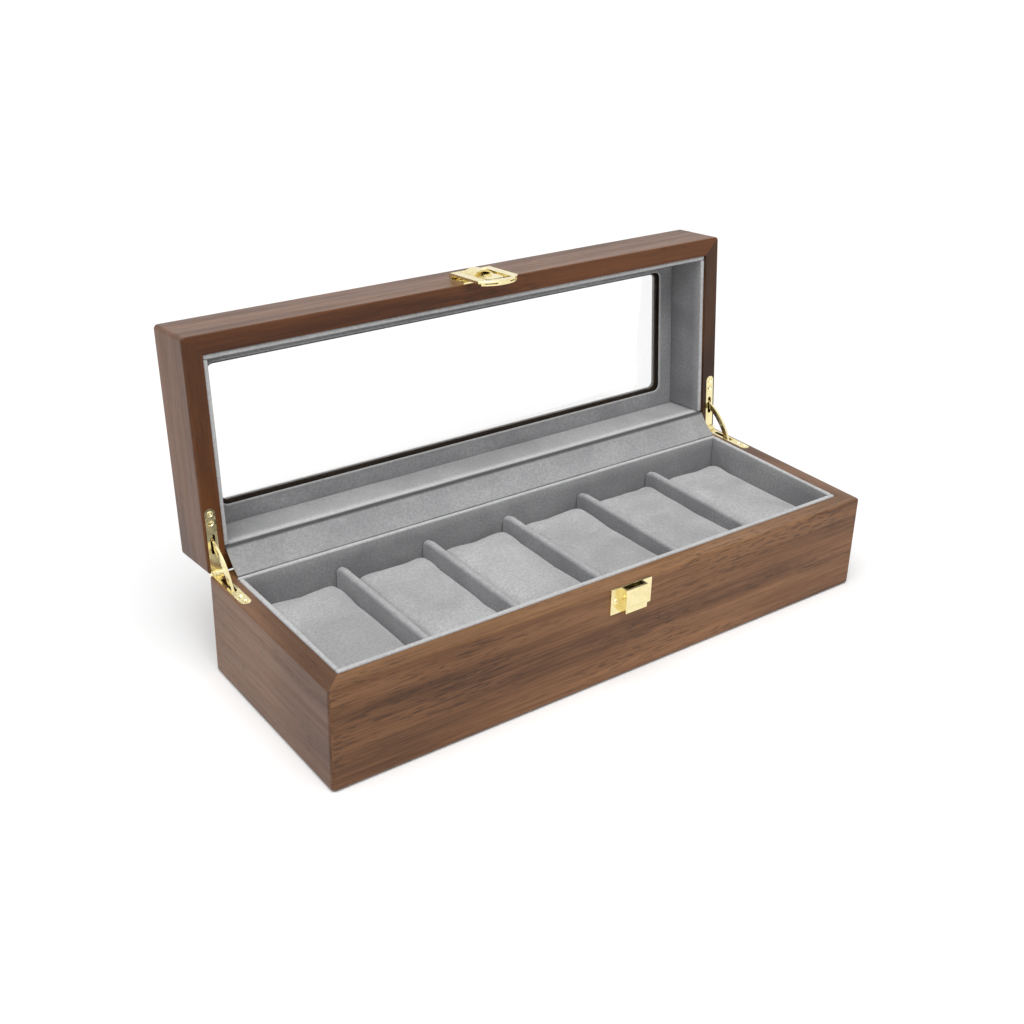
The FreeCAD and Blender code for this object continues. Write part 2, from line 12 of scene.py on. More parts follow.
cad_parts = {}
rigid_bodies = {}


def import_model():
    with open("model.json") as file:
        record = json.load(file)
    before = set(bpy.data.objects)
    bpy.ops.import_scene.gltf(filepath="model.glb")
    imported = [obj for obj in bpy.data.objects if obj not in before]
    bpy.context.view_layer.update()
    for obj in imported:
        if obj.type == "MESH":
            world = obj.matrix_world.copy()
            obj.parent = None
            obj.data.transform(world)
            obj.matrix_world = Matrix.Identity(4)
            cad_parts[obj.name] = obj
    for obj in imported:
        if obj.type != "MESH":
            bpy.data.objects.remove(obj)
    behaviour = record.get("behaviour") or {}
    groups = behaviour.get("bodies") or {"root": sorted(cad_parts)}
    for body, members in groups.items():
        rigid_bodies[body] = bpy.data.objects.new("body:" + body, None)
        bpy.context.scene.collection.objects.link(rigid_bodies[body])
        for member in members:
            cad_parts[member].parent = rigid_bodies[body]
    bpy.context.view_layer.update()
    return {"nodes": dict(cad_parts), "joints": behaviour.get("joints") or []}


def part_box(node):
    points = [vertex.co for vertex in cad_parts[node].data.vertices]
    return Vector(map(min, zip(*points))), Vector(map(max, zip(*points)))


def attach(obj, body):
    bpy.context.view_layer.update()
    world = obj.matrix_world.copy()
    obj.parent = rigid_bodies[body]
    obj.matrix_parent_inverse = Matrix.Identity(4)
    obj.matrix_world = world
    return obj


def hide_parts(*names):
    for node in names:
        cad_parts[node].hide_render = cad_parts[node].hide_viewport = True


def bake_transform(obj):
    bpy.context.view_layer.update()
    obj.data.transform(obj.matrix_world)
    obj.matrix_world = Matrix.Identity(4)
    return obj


log = logging.getLogger("watch_box")

MM = 0.001
Colour = tuple[float, float, float]
Point = tuple[float, float, float]
Piece = bpy.types.Object
Material = bpy.types.Material
Tree = bpy.types.NodeTree
Node = bpy.types.Node
Socket = bpy.types.NodeSocket


# ---------------------------------------------------------------------------
# node trees
# ---------------------------------------------------------------------------
class Wiring:
    """Adds nodes to one tree and joins them."""

    def __init__(self, tree: Tree) -> None:
        """Keeps the tree that every call adds to."""
        self.tree = tree

    def add(self, kind: str, inputs: Optional[dict] = None, **settings: object) -> Node:
        """Adds a node.

        Args:
            kind: the node's type.
            inputs: socket name or number, and either a value or an output socket.
            settings: properties of the node itself.

        Returns:
            The new node.
        """
        node = self.tree.nodes.new(kind)
        for name, value in settings.items():
            setattr(node, name, value)
        self.fill(node, inputs or {})
        return node

    def out(self, kind: str, inputs: Optional[dict] = None, **settings: object) -> Socket:
        """Adds a node and returns its first output."""
        return self.add(kind, inputs, **settings).outputs[0]

    def fill(self, node: Node, values: dict) -> None:
        """Joins or sets several inputs of a node, by name or number."""
        for key, value in values.items():
            self.feed(node.inputs[key], value)

    def place(self) -> Socket:
        """Where a point lies on its piece."""
        return self.add("ShaderNodeTexCoord").outputs["Object"]

    def times(self, a: object, b: object) -> Socket:
        """Multiplies two numbers."""
        return self.maths("MULTIPLY", a, b)

    def plus(self, a: object, b: object) -> Socket:
        """Adds two numbers."""
        return self.maths("ADD", a, b)

    def feed(self, socket: Socket, value: object) -> None:
        """Joins an output to the socket, or sets the socket to a plain value."""
        if isinstance(value, Socket):
            self.tree.links.new(value, socket)
        else:
            socket.default_value = value

    def maths(self, operation: str, a: object, b: object = 0.0, clamp: bool = False) -> Socket:
        """Works out one number from two.

        Args:
            operation: name of the operation.
            a: first value or output socket.
            b: second value or output socket.
            clamp: keep the result between 0 and 1.

        Returns:
            The socket that holds the result.
        """
        node = self.add("ShaderNodeMath", {0: a, 1: b}, operation=operation)
        node.use_clamp = clamp
        return node.outputs[0]

    def vector(self, operation: str, a: object, b: object = (0.0, 0.0, 0.0)) -> Socket:
        """Works out one vector from two and returns its socket."""
        return self.add("ShaderNodeVectorMath", {0: a, 1: b}, operation=operation).outputs[0]

    def spread(self, value: object, low: float, high: float, to_low: float = 0.0,
               to_high: float = 1.0) -> Socket:
        """Maps a range of numbers smoothly on to another.

        Args:
            value: number or output socket.
            low: start of the range read.
            high: end of the range read.
            to_low: what low becomes.
            to_high: what high becomes.

        Returns:
            The socket that holds the result.
        """
        node = self.add("ShaderNodeMapRange", {"Value": value, "From Min": low, "From Max": high,
                                               "To Min": to_low, "To Max": to_high})
        node.interpolation_type = "SMOOTHSTEP"
        return node.outputs[0]

    def blend_colour(self, factor: object, a: object, b: object, mode: str = "MIX") -> Socket:
        """Mixes two colours.

        Args:
            factor: share of the second colour.
            a: first colour or output socket.
            b: second colour or output socket.
            mode: how they mix.

        Returns:
            The socket that holds the colour.
        """
        node = self.add("ShaderNodeMix", data_type="RGBA", blend_type=mode)
        self.feed(node.inputs["Factor"], factor)
        for key, value in ((6, a), (7, b)):
            if not isinstance(value, Socket):
                value = (*value, 1.0)
            self.feed(node.inputs[key], value)
        return node.outputs[2]

    def cloudy(self, vector: object, scale: object, detail: float = 2.0, roughness: float = 0.5,
               distortion: float = 0.0) -> Socket:
        """Adds a noise texture and returns its value."""
        return self.out("ShaderNodeTexNoise", {"Vector": vector, "Scale": scale, "Detail": detail,
                                               "Roughness": roughness, "Distortion": distortion})


def new_tree(name: str, kind: str, takes: Sequence[tuple[str, str, object]],
             gives: Sequence[tuple[str, str]]) -> tuple[Tree, Wiring, dict]:
    """Starts a node tree with named sockets.

    Args:
        name: the tree's name.
        kind: the tree's type.
        takes: name, socket type and first value of each input.
        gives: name and socket type of each output.

    Returns:
        The tree, its wiring and its input sockets by name.
    """
    tree = bpy.data.node_groups.new(name, kind)
    for label, socket_kind, value in takes:
        socket = tree.interface.new_socket(name=label, in_out="INPUT", socket_type=socket_kind)
        if value is not None:
            socket.default_value = value
    for label, socket_kind in gives:
        tree.interface.new_socket(name=label, in_out="OUTPUT", socket_type=socket_kind)
    wiring = Wiring(tree)
    inputs = wiring.add("NodeGroupInput").outputs
    return tree, wiring, {take[0]: inputs[take[0]] for take in takes}


def new_group(name: str, takes: Sequence[tuple[str, str, object]],
              gives: Sequence[tuple[str, str]]) -> tuple[Tree, Wiring, dict, Node]:
    """Starts a shader node group with named sockets.

    Args:
        name: the group's name.
        takes: name, socket type and first value of each input.
        gives: name and socket type of each output.

    Returns:
        The group, its wiring, its input sockets by name, and the output node.
    """
    tree, wiring, inputs = new_tree(name, "ShaderNodeTree", takes, gives)
    return tree, wiring, inputs, wiring.add("NodeGroupOutput")


FLOAT = "NodeSocketFloat"
VECTOR = "NodeSocketVector"


def grain_group() -> Tree:
    """Wood grain that runs along X: growth bands, fibre streaks, open pores and their height."""
    tree, w, take, give = new_group("walnut_grain", (("Vector", VECTOR, None), ("Seed", FLOAT, 0.0),
                                                     ("Ring Width", FLOAT, 0.011), ("Slope", FLOAT, 0.06),
                                                     ("Heart Distance", FLOAT, 0.06)),
                                    (("Bands", FLOAT), ("Streaks", FLOAT), ("Pores", FLOAT),
                                     ("Clouds", FLOAT), ("Height", FLOAT)))
    shift = w.out("ShaderNodeCombineXYZ", {0: take["Seed"], 1: w.times(take["Seed"], 0.37),
                                           2: w.times(take["Seed"], 0.61)})
    place = w.vector("ADD", take["Vector"], shift)
    slow = w.add("ShaderNodeTexNoise", {"Vector": w.vector("MULTIPLY", place, (4.5, 14.0, 14.0)),
                                        "Scale": 1.0, "Detail": 3.0}).outputs[1]
    sway = w.vector("MULTIPLY", w.vector("SUBTRACT", slow, (0.5, 0.5, 0.5)), (0.0, 0.045, 0.045))
    bent = w.vector("ADD", take["Vector"], sway)
    part = w.add("ShaderNodeSeparateXYZ", {0: bent}).outputs
    along = w.times(part[0], take["Slope"])
    side = w.plus(part[1], take["Heart Distance"])
    rise = w.plus(part[2], along)
    radius = w.maths("SQRT", w.plus(w.times(side, side), w.times(rise, rise)))
    turns = w.times(w.maths("DIVIDE", radius, take["Ring Width"]), 2.0 * math.pi)
    bands = w.maths("POWER", w.spread(w.maths("SINE", turns), -1.0, 1.0), 1.4)
    fibre = w.cloudy(w.vector("MULTIPLY", place, (26.0, 760.0, 760.0)), 1.0, 3.0, 0.6)
    coarse = w.cloudy(w.vector("MULTIPLY", place, (6.0, 190.0, 190.0)), 1.0, 4.0, 0.6)
    streaks = w.plus(w.times(fibre, 0.45), w.times(coarse, 0.55))
    gate = w.spread(w.cloudy(w.vector("MULTIPLY", place, (14.0, 85.0, 85.0)), 1.0, 2.0), 0.42, 0.66)
    dashes = w.cloudy(w.vector("MULTIPLY", place, (150.0, 1300.0, 1300.0)), 1.0, 1.0, 0.5)
    flecks = w.cloudy(w.vector("MULTIPLY", place, (70.0, 760.0, 760.0)), 1.0, 1.0, 0.5)
    open_pores = w.maths("MAXIMUM", w.spread(dashes, 0.56, 0.66), w.spread(flecks, 0.60, 0.70))
    pores = w.times(open_pores, w.plus(w.times(gate, 0.75), 0.25))
    clouds = w.cloudy(w.vector("MULTIPLY", place, (4.5, 34.0, 34.0)), 1.0, 3.0)
    height = w.maths("SUBTRACT", w.times(streaks, 0.35), pores)
    w.fill(give, {"Bands": bands, "Streaks": w.spread(streaks, 0.3, 0.7), "Pores": pores,
                  "Clouds": w.spread(clouds, 0.28, 0.72), "Height": height})
    return tree


def edge_group() -> Tree:
    """Mask of the outer edges of a box, broken up by noise, along which the walnut is darkened."""
    tree, w, take, give = new_group("rubbed_edges", (("Vector", VECTOR, None),
                                                     ("Centre", VECTOR, (0.0, 0.0, 0.0)),
                                                     ("Half Size", VECTOR, (1.0, 1.0, 1.0)),
                                                     ("Width", FLOAT, 0.002)), (("Edge", FLOAT),))
    far = w.vector("ABSOLUTE", w.vector("SUBTRACT", take["Vector"], take["Centre"]))
    inside = w.vector("SUBTRACT", take["Half Size"], far)
    part = w.add("ShaderNodeSeparateXYZ", {0: inside}).outputs
    near = [w.maths("SUBTRACT", 1.0, w.maths("DIVIDE", p, take["Width"]), clamp=True) for p in part]
    pairs = [w.times(near[i], near[j]) for i, j in ((0, 1), (1, 2), (0, 2))]
    total = w.maths("ADD", w.plus(pairs[0], pairs[1]), pairs[2], clamp=True)
    patchiness = w.cloudy(w.vector("MULTIPLY", take["Vector"], (60.0, 60.0, 60.0)), 1.0, 3.0, 0.6)
    w.feed(give.inputs["Edge"], w.times(total, w.spread(patchiness, 0.3, 0.7, 0.35, 1.0)))
    return tree


def nap_group() -> Tree:
    """Short pile: brushed patches, fibre speckle and the pile's height."""
    tree, w, take, give = new_group("velvet_nap", (("Vector", VECTOR, None), ("Seed", FLOAT, 0.0),
                                                   ("Fibre", FLOAT, 2600.0), ("Patch", FLOAT, 34.0)),
                                    (("Brush", FLOAT), ("Speckle", FLOAT), ("Height", FLOAT)))
    shift = w.out("ShaderNodeCombineXYZ", {0: take["Seed"], 1: take["Seed"], 2: take["Seed"]})
    place = w.vector("ADD", take["Vector"], shift)
    brush = w.cloudy(place, take["Patch"], 3.0, 0.55, 0.8)
    speck = w.cloudy(place, take["Fibre"], 2.0, 0.7)
    tuft = w.cloudy(place, w.times(take["Fibre"], 0.3))
    height = w.plus(w.times(speck, 0.6), w.times(tuft, 0.4))
    w.fill(give, {"Brush": w.spread(brush, 0.3, 0.7), "Speckle": w.spread(height, 0.3, 0.7),
                  "Height": height})
    return tree


def handling_group() -> Tree:
    """Faint smears and hairline scratches left by handling."""
    tree, w, take, give = new_group("handling_marks",
                                    (("Vector", VECTOR, None), ("Smear Scale", FLOAT, 120.0),
                                     ("Scratch Scale", FLOAT, 900.0)), (("Smear", FLOAT),
                                                                        ("Scratch", FLOAT)))
    smear = w.cloudy(take["Vector"], take["Smear Scale"], 4.0, 0.6, 1.2)
    drawn = w.vector("MULTIPLY", take["Vector"], (0.08, 1.0, 1.0))
    scratch = w.cloudy(drawn, take["Scratch Scale"], 3.0)
    w.fill(give, {"Smear": w.spread(smear, 0.3, 0.75), "Scratch": w.spread(scratch, 0.52, 0.72)})
    return tree


@dataclass(frozen=True)
class SharedGroups:
    """The effects that more than one finish uses."""

    grain: Tree
    edges: Tree
    nap: Tree
    marks: Tree

    @classmethod
    def make(cls) -> "SharedGroups":
        """Builds each group once."""
        return cls(grain_group(), edge_group(), nap_group(), handling_group())


# ---------------------------------------------------------------------------
# finishes
# ---------------------------------------------------------------------------
class Run(Enum):
    """Which way the grain of a board runs."""

    LENGTHWISE = 0.0
    CROSSWISE = -90.0


@dataclass(frozen=True)
class LidTurn:
    """The lid's turn between shut and its open rest place."""

    pin: Vector
    degrees: float

    @classmethod
    def read(cls, joints: Sequence[dict]) -> "LidTurn":
        """Takes the hinge line and the travel from the joints."""
        hinge = next(j for j in joints if j["name"] == "lid_hinge")
        return cls(Vector(hinge["pos_m"]), -hinge["range_deg"][0])

    @property
    def matrix(self) -> Matrix:
        """Takes a point drawn with the lid shut to its open place."""
        turn = Matrix.Rotation(math.radians(self.degrees), 4, Vector((-1.0, 0.0, 0.0)))
        return Matrix.Translation(self.pin) @ turn @ Matrix.Translation(-self.pin)

    @property
    def back_shift(self) -> Vector:
        """What the turn back to shut needs added after its rotation."""
        back = Matrix.Rotation(math.radians(self.degrees), 3, Vector((1.0, 0.0, 0.0)))
        return self.pin - back @ self.pin


def new_material(name: str, colour: Colour) -> tuple[Material, Wiring, Node]:
    """Starts a node material.

    Args:
        name: the material's name.
        colour: colour shown in the viewport.

    Returns:
        The material, its wiring and its Principled shader.
    """
    material = bpy.data.materials.new(name)
    material.use_nodes = True
    material.diffuse_color = (*colour, 1.0)
    wiring = Wiring(material.node_tree)
    return material, wiring, material.node_tree.nodes["Principled BSDF"]


def place_group(w: Wiring, tree: Tree, inputs: dict) -> Node:
    """Adds a shared group to a material with its own values."""
    node = w.add("ShaderNodeGroup", node_tree=tree)
    w.fill(node, inputs)
    return node


def lid_place(w: Wiring, turn: LidTurn) -> Socket:
    """Where a point of the lid lies once the lid is turned back to shut."""
    return w.out("ShaderNodeMapping", {"Vector": w.place(), "Location": turn.back_shift,
                                       "Rotation": (math.radians(turn.degrees), 0.0, 0.0)})


def bump(w: Wiring, shader: Node, height: object, strength: float, depth: float) -> None:
    """Feeds a height to the shader's normal."""
    node = w.add("ShaderNodeBump", {"Strength": strength, "Distance": depth, "Height": height})
    w.feed(shader.inputs["Normal"], node.outputs[0])


@dataclass(frozen=True)
class Walnut:
    """Satin lacquered walnut: veneered faces, solid darker wood along the rim; the per-board and rim tints
    also hold painted light and shade.
    """

    name: str
    run: Run
    on_lid: bool
    seed: float
    ring: float = 0.016
    slope: float = 0.05
    heart: float = 0.075
    figure: float = 0.16
    fibre: float = 0.42
    dark: Colour = (0.074, 0.029, 0.0105)
    middle: Colour = (0.167, 0.073, 0.029)
    light: Colour = (0.262, 0.123, 0.051)
    # Tint per board, fitted to the face's lit tone: it holds painted light and shade, such as painted sheen
    # on the side boards.
    tint: Colour = (1.0, 1.0, 1.0)
    # Tint of the solid-wood rim strip, fitted to the rim's lit tone, so it also holds painted light and
    # shade.
    rim_tint: Colour = (1.09, 1.20, 1.30)

    def make(self, groups: SharedGroups, turn: LidTurn, low: Vector, high: Vector) -> Material:
        """Builds the material.

        Args:
            groups: the shared effects.
            turn: the lid's turn, for boards on the lid.
            low: lowest corner of the carcass, with the lid shut.
            high: its highest corner.

        Returns:
            The material.
        """
        material, w, shader = new_material(self.name, self.middle)
        place = lid_place(w, turn) if self.on_lid else w.place()
        edge = place_group(w, groups.edges, {"Vector": place, "Centre": (low + high) / 2,
                                             "Half Size": (high - low) / 2, "Width": 1.6 * MM})
        along = w.out("ShaderNodeMapping", {"Vector": place,
                                            "Rotation": (0.0, 0.0, math.radians(self.run.value))})
        grain = place_group(w, groups.grain, {"Vector": along, "Seed": self.seed, "Ring Width": self.ring,
                                              "Slope": self.slope, "Heart Distance": self.heart})
        tone = w.plus(w.times(grain.outputs["Bands"], self.figure),
                      w.times(grain.outputs["Streaks"], self.fibre))
        tone = w.plus(tone, w.times(grain.outputs["Clouds"], 1.0 - self.fibre - self.figure))
        ramp = w.add("ShaderNodeValToRGB", {0: tone})
        stops = ramp.color_ramp
        stops.elements[0].position = 0.10
        stops.elements[1].position = 0.90
        stops.elements[0].color = (*self.dark, 1.0)
        stops.elements[1].color = (*self.light, 1.0)
        stops.elements.new(0.48).color = (*self.middle, 1.0)
        # Per-board tint: painted light and shade on top of the wood's own colour.
        faced = w.blend_colour(1.0, ramp.outputs[0], self.tint, "MULTIPLY")
        # Rim strip: the solid wood gets its own tint, which also holds painted light and shade.
        rim_at = (low.z if self.on_lid else high.z)
        height = w.add("ShaderNodeSeparateXYZ", {0: place}).outputs[2]
        off = w.maths("ABSOLUTE", w.maths("SUBTRACT", height, rim_at))
        on_rim = w.spread(off, 0.15 * MM, 0.9 * MM, 1.0, 0.0)
        rimmed = w.blend_colour(on_rim, faced, w.blend_colour(1.0, faced, self.rim_tint, "MULTIPLY"))
        deepest = [c * 0.42 for c in self.dark]
        pored = w.blend_colour(w.times(grain.outputs["Pores"], 0.62), rimmed, deepest)
        # Darker along the outer edges of the carcass.
        edge_darkened = w.blend_colour(w.times(edge.outputs["Edge"], 0.22), pored, deepest)
        w.fill(shader, {"Base Color": edge_darkened,
                        "Roughness": w.spread(grain.outputs["Streaks"], 0.0, 1.0, 0.46, 0.34),
                        "Specular IOR Level": 0.24, "Coat Weight": 0.06, "Coat Roughness": 0.22})
        bump(w, shader, grain.outputs["Height"], 0.3, 0.12 * MM)
        return material


@dataclass(frozen=True)
class Velvet:
    """Short grey pile over card or foam; a crest attribute marks painted highlights on folds and rims, and
    a crease attribute marks painted shade in seams.
    """

    name: str
    seed: float
    colour: Colour = (0.268, 0.268, 0.275)
    brushed: Colour = (0.365, 0.365, 0.372)
    # Colour of the painted highlight on folds and rims.
    crest: Colour = (0.560, 0.560, 0.560)
    fibre: float = 2600.0
    patch: float = 30.0
    sheen: float = 0.45
    depth: float = 0.16 * MM

    def make(self, groups: SharedGroups) -> Material:
        """Builds the material."""
        material, w, shader = new_material(self.name, self.colour)
        place = w.place()
        nap = place_group(w, groups.nap, {"Vector": place, "Seed": self.seed, "Fibre": self.fibre,
                                          "Patch": self.patch})
        speckle = nap.outputs["Speckle"]
        soft = w.blend_colour(nap.outputs["Brush"], self.colour, self.brushed)
        deep = [c * 0.62 for c in self.colour]
        piled = w.blend_colour(w.spread(speckle, 0.0, 1.0, 0.60, 0.0), soft, deep)
        # Painted highlight: the pile is lightened where the crest attribute is set.
        fold = w.add("ShaderNodeAttribute", attribute_name="crest").outputs["Fac"]
        catch = w.times(fold, w.spread(speckle, 0.0, 1.0, 0.55, 1.0))
        lit = w.blend_colour(catch, piled, self.crest)
        # Painted shade: the pile is darkened to near black where the crease attribute is set, along seams
        # and gaps.
        crease = w.add("ShaderNodeAttribute", attribute_name="crease").outputs["Fac"]
        painted_seam_shade = [c * 0.12 for c in self.colour]
        w.fill(shader, {"Base Color": w.blend_colour(w.times(crease, 0.85), lit, painted_seam_shade),
                        "Roughness": w.spread(speckle, 0.0, 1.0, 1.0, 0.85), "Specular IOR Level": 0.18,
                        "Sheen Weight": self.sheen, "Sheen Roughness": 0.45,
                        "Sheen Tint": (0.92, 0.92, 0.95, 1.0)})
        bump(w, shader, nap.outputs["Height"], 0.5, self.depth)
        return material


@dataclass(frozen=True)
class Gilt:
    """Polished pale gold plate on pressed brass."""

    name: str
    colour: Colour = (0.92, 0.82, 0.48)
    worn: Colour = (0.74, 0.60, 0.28)
    smooth: float = 0.11
    dull: float = 0.27

    def make(self, groups: SharedGroups) -> Material:
        """Builds the material."""
        material, w, shader = new_material(self.name, self.colour)
        place = w.place()
        marks = place_group(w, groups.marks, {"Vector": place, "Smear Scale": 190.0,
                                              "Scratch Scale": 2400.0})
        smear, scratch = marks.outputs["Smear"], marks.outputs["Scratch"]
        rough = w.plus(w.spread(smear, 0.0, 1.0, self.smooth, self.dull), w.times(scratch, 0.08))
        worn = w.blend_colour(w.times(smear, 0.55), self.colour, self.worn)
        w.fill(shader, {"Base Color": worn, "Roughness": rough, "Metallic": 1.0})
        bump(w, shader, w.plus(w.times(smear, 0.8), w.times(scratch, 0.2)), 0.25, 0.05 * MM)
        return material


@dataclass(frozen=True)
class ClearPane:
    """Clear flat glass with faint handling marks."""

    name: str
    tint: Colour = (0.97, 0.985, 0.98)

    def make(self, groups: SharedGroups) -> Material:
        """Builds the material."""
        material, w, shader = new_material(self.name, self.tint)
        place = w.place()
        marks = place_group(w, groups.marks, {"Vector": place, "Smear Scale": 22.0, "Scratch Scale": 500.0})
        w.fill(shader, {"Base Color": (*self.tint, 1.0), "Metallic": 0.0, "IOR": 1.45, "Alpha": 0.16,
                        "Roughness": w.spread(marks.outputs["Smear"], 0.0, 1.0, 0.01, 0.05),
                        "Transmission Weight": 1.0})
        return material


@dataclass(frozen=True)
class PlainBoard:
    """Unlacquered pale panel, seen only from below or with the linings out."""

    name: str
    light: Colour = (0.56, 0.43, 0.29)
    dark: Colour = (0.40, 0.28, 0.17)

    def make(self, groups: SharedGroups) -> Material:
        """Builds the material."""
        material, w, shader = new_material(self.name, self.light)
        place = w.place()
        grain = place_group(w, groups.grain, {"Vector": place, "Seed": 4.1, "Ring Width": 0.02,
                                              "Slope": 0.12, "Heart Distance": 0.2})
        w.fill(shader, {"Base Color": w.blend_colour(grain.outputs["Streaks"], self.dark, self.light),
                        "Roughness": w.spread(grain.outputs["Clouds"], 0.0, 1.0, 0.75, 0.6)})
        bump(w, shader, grain.outputs["Height"], 0.3, 0.1 * MM)
        return material


@dataclass
class Finishes:
    """Every finish of the box, made once."""

    groups: SharedGroups
    turn: LidTurn
    base_low: Vector
    base_high: Vector
    lid_low: Vector
    lid_high: Vector
    velvet: Material = field(init=False)
    pillow: Material = field(init=False)
    strip: Material = field(init=False)
    painted_light_pile: Material = field(init=False)
    shade: Material = field(init=False)
    felt: Material = field(init=False)
    gilt: Material = field(init=False)
    pane: Material = field(init=False)
    panel: Material = field(init=False)

    def __post_init__(self) -> None:
        """Makes the finishes that don't depend on a board."""
        self.velvet = Velvet("lining_velvet", 0.0).make(self.groups)
        self.pillow = Velvet("pillow_velvet", 3.3, (0.365, 0.365, 0.370), (0.505, 0.505, 0.510),
                             (0.72, 0.72, 0.72), patch=24.0).make(self.groups)
        self.strip = Velvet("strip_velvet", 1.9, (0.318, 0.318, 0.324), (0.405, 0.405, 0.411),
                            patch=26.0).make(self.groups)
        # Painted light: a lighter copy of the lining velvet, for the lid's rear lining.
        self.painted_light_pile = Velvet("flap_velvet", 2.7, (0.375, 0.375, 0.380), (0.490, 0.490, 0.495),
                           (0.72, 0.72, 0.72), patch=26.0).make(self.groups)
        # Painted shade: a darker copy of the lining velvet, for the lid's right lining.
        self.shade = Velvet("brushed_down_velvet", 5.1, (0.205, 0.205, 0.212),
                            (0.285, 0.285, 0.292)).make(self.groups)
        self.felt = Velvet("underside_felt", 7.7, (0.030, 0.028, 0.027), (0.050, 0.047, 0.045),
                           (0.08, 0.08, 0.08), 1500.0, 60.0, 0.2).make(self.groups)
        self.gilt = Gilt("pale_gilt").make(self.groups)
        self.pane = ClearPane("clear_pane").make(self.groups)
        self.panel = PlainBoard("plain_panel").make(self.groups)

    def walnut(self, finish: Walnut) -> Material:
        """Makes the walnut of one board."""
        low, high = (self.lid_low, self.lid_high) if finish.on_lid else (self.base_low, self.base_high)
        return finish.make(self.groups, self.turn, low, high)

    def top_frame(self, finish: Walnut, window: Vector, opening_dark: Colour) -> Material:
        """Makes the walnut of the lid's top frame, darkened inside its window opening and on the rebate
        ledge round it.

        Args:
            finish: the frame's walnut.
            window: half size of the opening.
            opening_dark: colour of the darkened band.

        Returns:
            The material.
        """
        material = self.walnut(finish)
        w = Wiring(material.node_tree)
        shader = material.node_tree.nodes["Principled BSDF"]
        wood = shader.inputs["Base Color"].links[0].from_socket
        shut = lid_place(w, self.turn)
        far = w.add("ShaderNodeSeparateXYZ",
                    {0: w.vector("SUBTRACT", w.vector("ABSOLUTE", shut), window)}).outputs
        beyond = w.maths("MAXIMUM", far[0], far[1])
        height = w.add("ShaderNodeSeparateXYZ", {0: shut}).outputs[2]
        # Darker band on the cut face of the opening and on the rebate ledge under the pane.
        ledge = w.times(w.spread(beyond, 3.5 * MM, 3.9 * MM, 1.0, 0.0),
                        w.spread(height, 78.1 * MM, 78.5 * MM, 1.0, 0.0))
        inside = w.maths("MAXIMUM", w.spread(beyond, 0.1 * MM, 0.5 * MM, 1.0, 0.0), ledge)
        w.feed(shader.inputs["Base Color"], w.blend_colour(inside, wood, opening_dark))
        return material


# ---------------------------------------------------------------------------
# meshes
# ---------------------------------------------------------------------------
def dress(piece: Piece, material: Material) -> None:
    """Gives a piece one material."""
    piece.data.materials.clear()
    piece.data.materials.append(material)


def make_piece(name: str, verts: Sequence[Point], faces: Sequence[Sequence[int]],
               smooth: bool = True) -> Piece:
    """Makes an object from points and faces, with its faces turned outwards.

    Args:
        name: the piece's name.
        verts: points in metres.
        faces: point numbers of each face.
        smooth: shade smoothly.

    Returns:
        The object, linked to the scene.
    """
    mesh = bpy.data.meshes.new(name)
    mesh.from_pydata([tuple(v) for v in verts], [], [list(f) for f in faces])
    mesh.validate()
    work = bmesh.new()
    work.from_mesh(mesh)
    bmesh.ops.remove_doubles(work, verts=work.verts, dist=1e-7)
    bmesh.ops.recalc_face_normals(work, faces=work.faces)
    work.to_mesh(mesh)
    work.free()
    mesh.polygons.foreach_set("use_smooth", [smooth] * len(mesh.polygons))
    piece = bpy.data.objects.new(name, mesh)
    bpy.context.scene.collection.objects.link(piece)
    return piece


def bake_modifiers(piece: Piece) -> None:
    """Replaces a piece's mesh with what its modifiers give, and removes them."""
    graph = bpy.context.evaluated_depsgraph_get()
    mesh = bpy.data.meshes.new_from_object(piece.evaluated_get(graph), depsgraph=graph)
    piece.modifiers.clear()
    piece.data = mesh


def grid_lines(low: float, high: float, radius: float, step: float) -> list[float]:
    """Places of the grid lines across one side of a soft box: close together in the rounding.

    Args:
        low: start of the side.
        high: end of the side.
        radius: rounding at both ends.
        step: largest gap between lines elsewhere.

    Returns:
        The places, in order.
    """
    ends = [0.0, 0.25, 0.55, 0.8, 1.0]
    inner = max(1, round((high - low - 2 * radius) / step))
    lines = [low + radius * e for e in ends]
    lines += [low + radius + (high - low - 2 * radius) * i / inner for i in range(1, inner)]
    lines += [high - radius * e for e in reversed(ends)]
    return lines


def soft_box(name: str, low: Vector, high: Vector, radius: float, step: float) -> Piece:
    """A box with every edge and corner rounded, on an even grid.

    Args:
        name: the piece's name.
        low: lowest corner.
        high: highest corner.
        radius: rounding of the edges.
        step: largest gap between grid lines.

    Returns:
        The object.
    """
    lines = [grid_lines(low[i], high[i], radius, step) for i in range(3)]
    verts: list[Vector] = []
    faces: list[list[int]] = []
    for axis in range(3):
        u, v = [i for i in range(3) if i != axis]
        for end in (0, -1):
            start = len(verts)
            for a in lines[u]:
                for b in lines[v]:
                    point = Vector((0.0, 0.0, 0.0))
                    point[axis], point[u], point[v] = lines[axis][end], a, b
                    verts.append(point)
            wide = len(lines[v])
            for i in range(len(lines[u]) - 1):
                for j in range(wide - 1):
                    k = start + i * wide + j
                    faces.append([k, k + 1, k + wide + 1, k + wide])
    for point in verts:
        core = Vector([min(max(point[i], low[i] + radius), high[i] - radius) for i in range(3)])
        away = point - core
        if away.length > 1e-9:
            point[:] = core + away.normalized() * radius
    return make_piece(name, verts, faces)


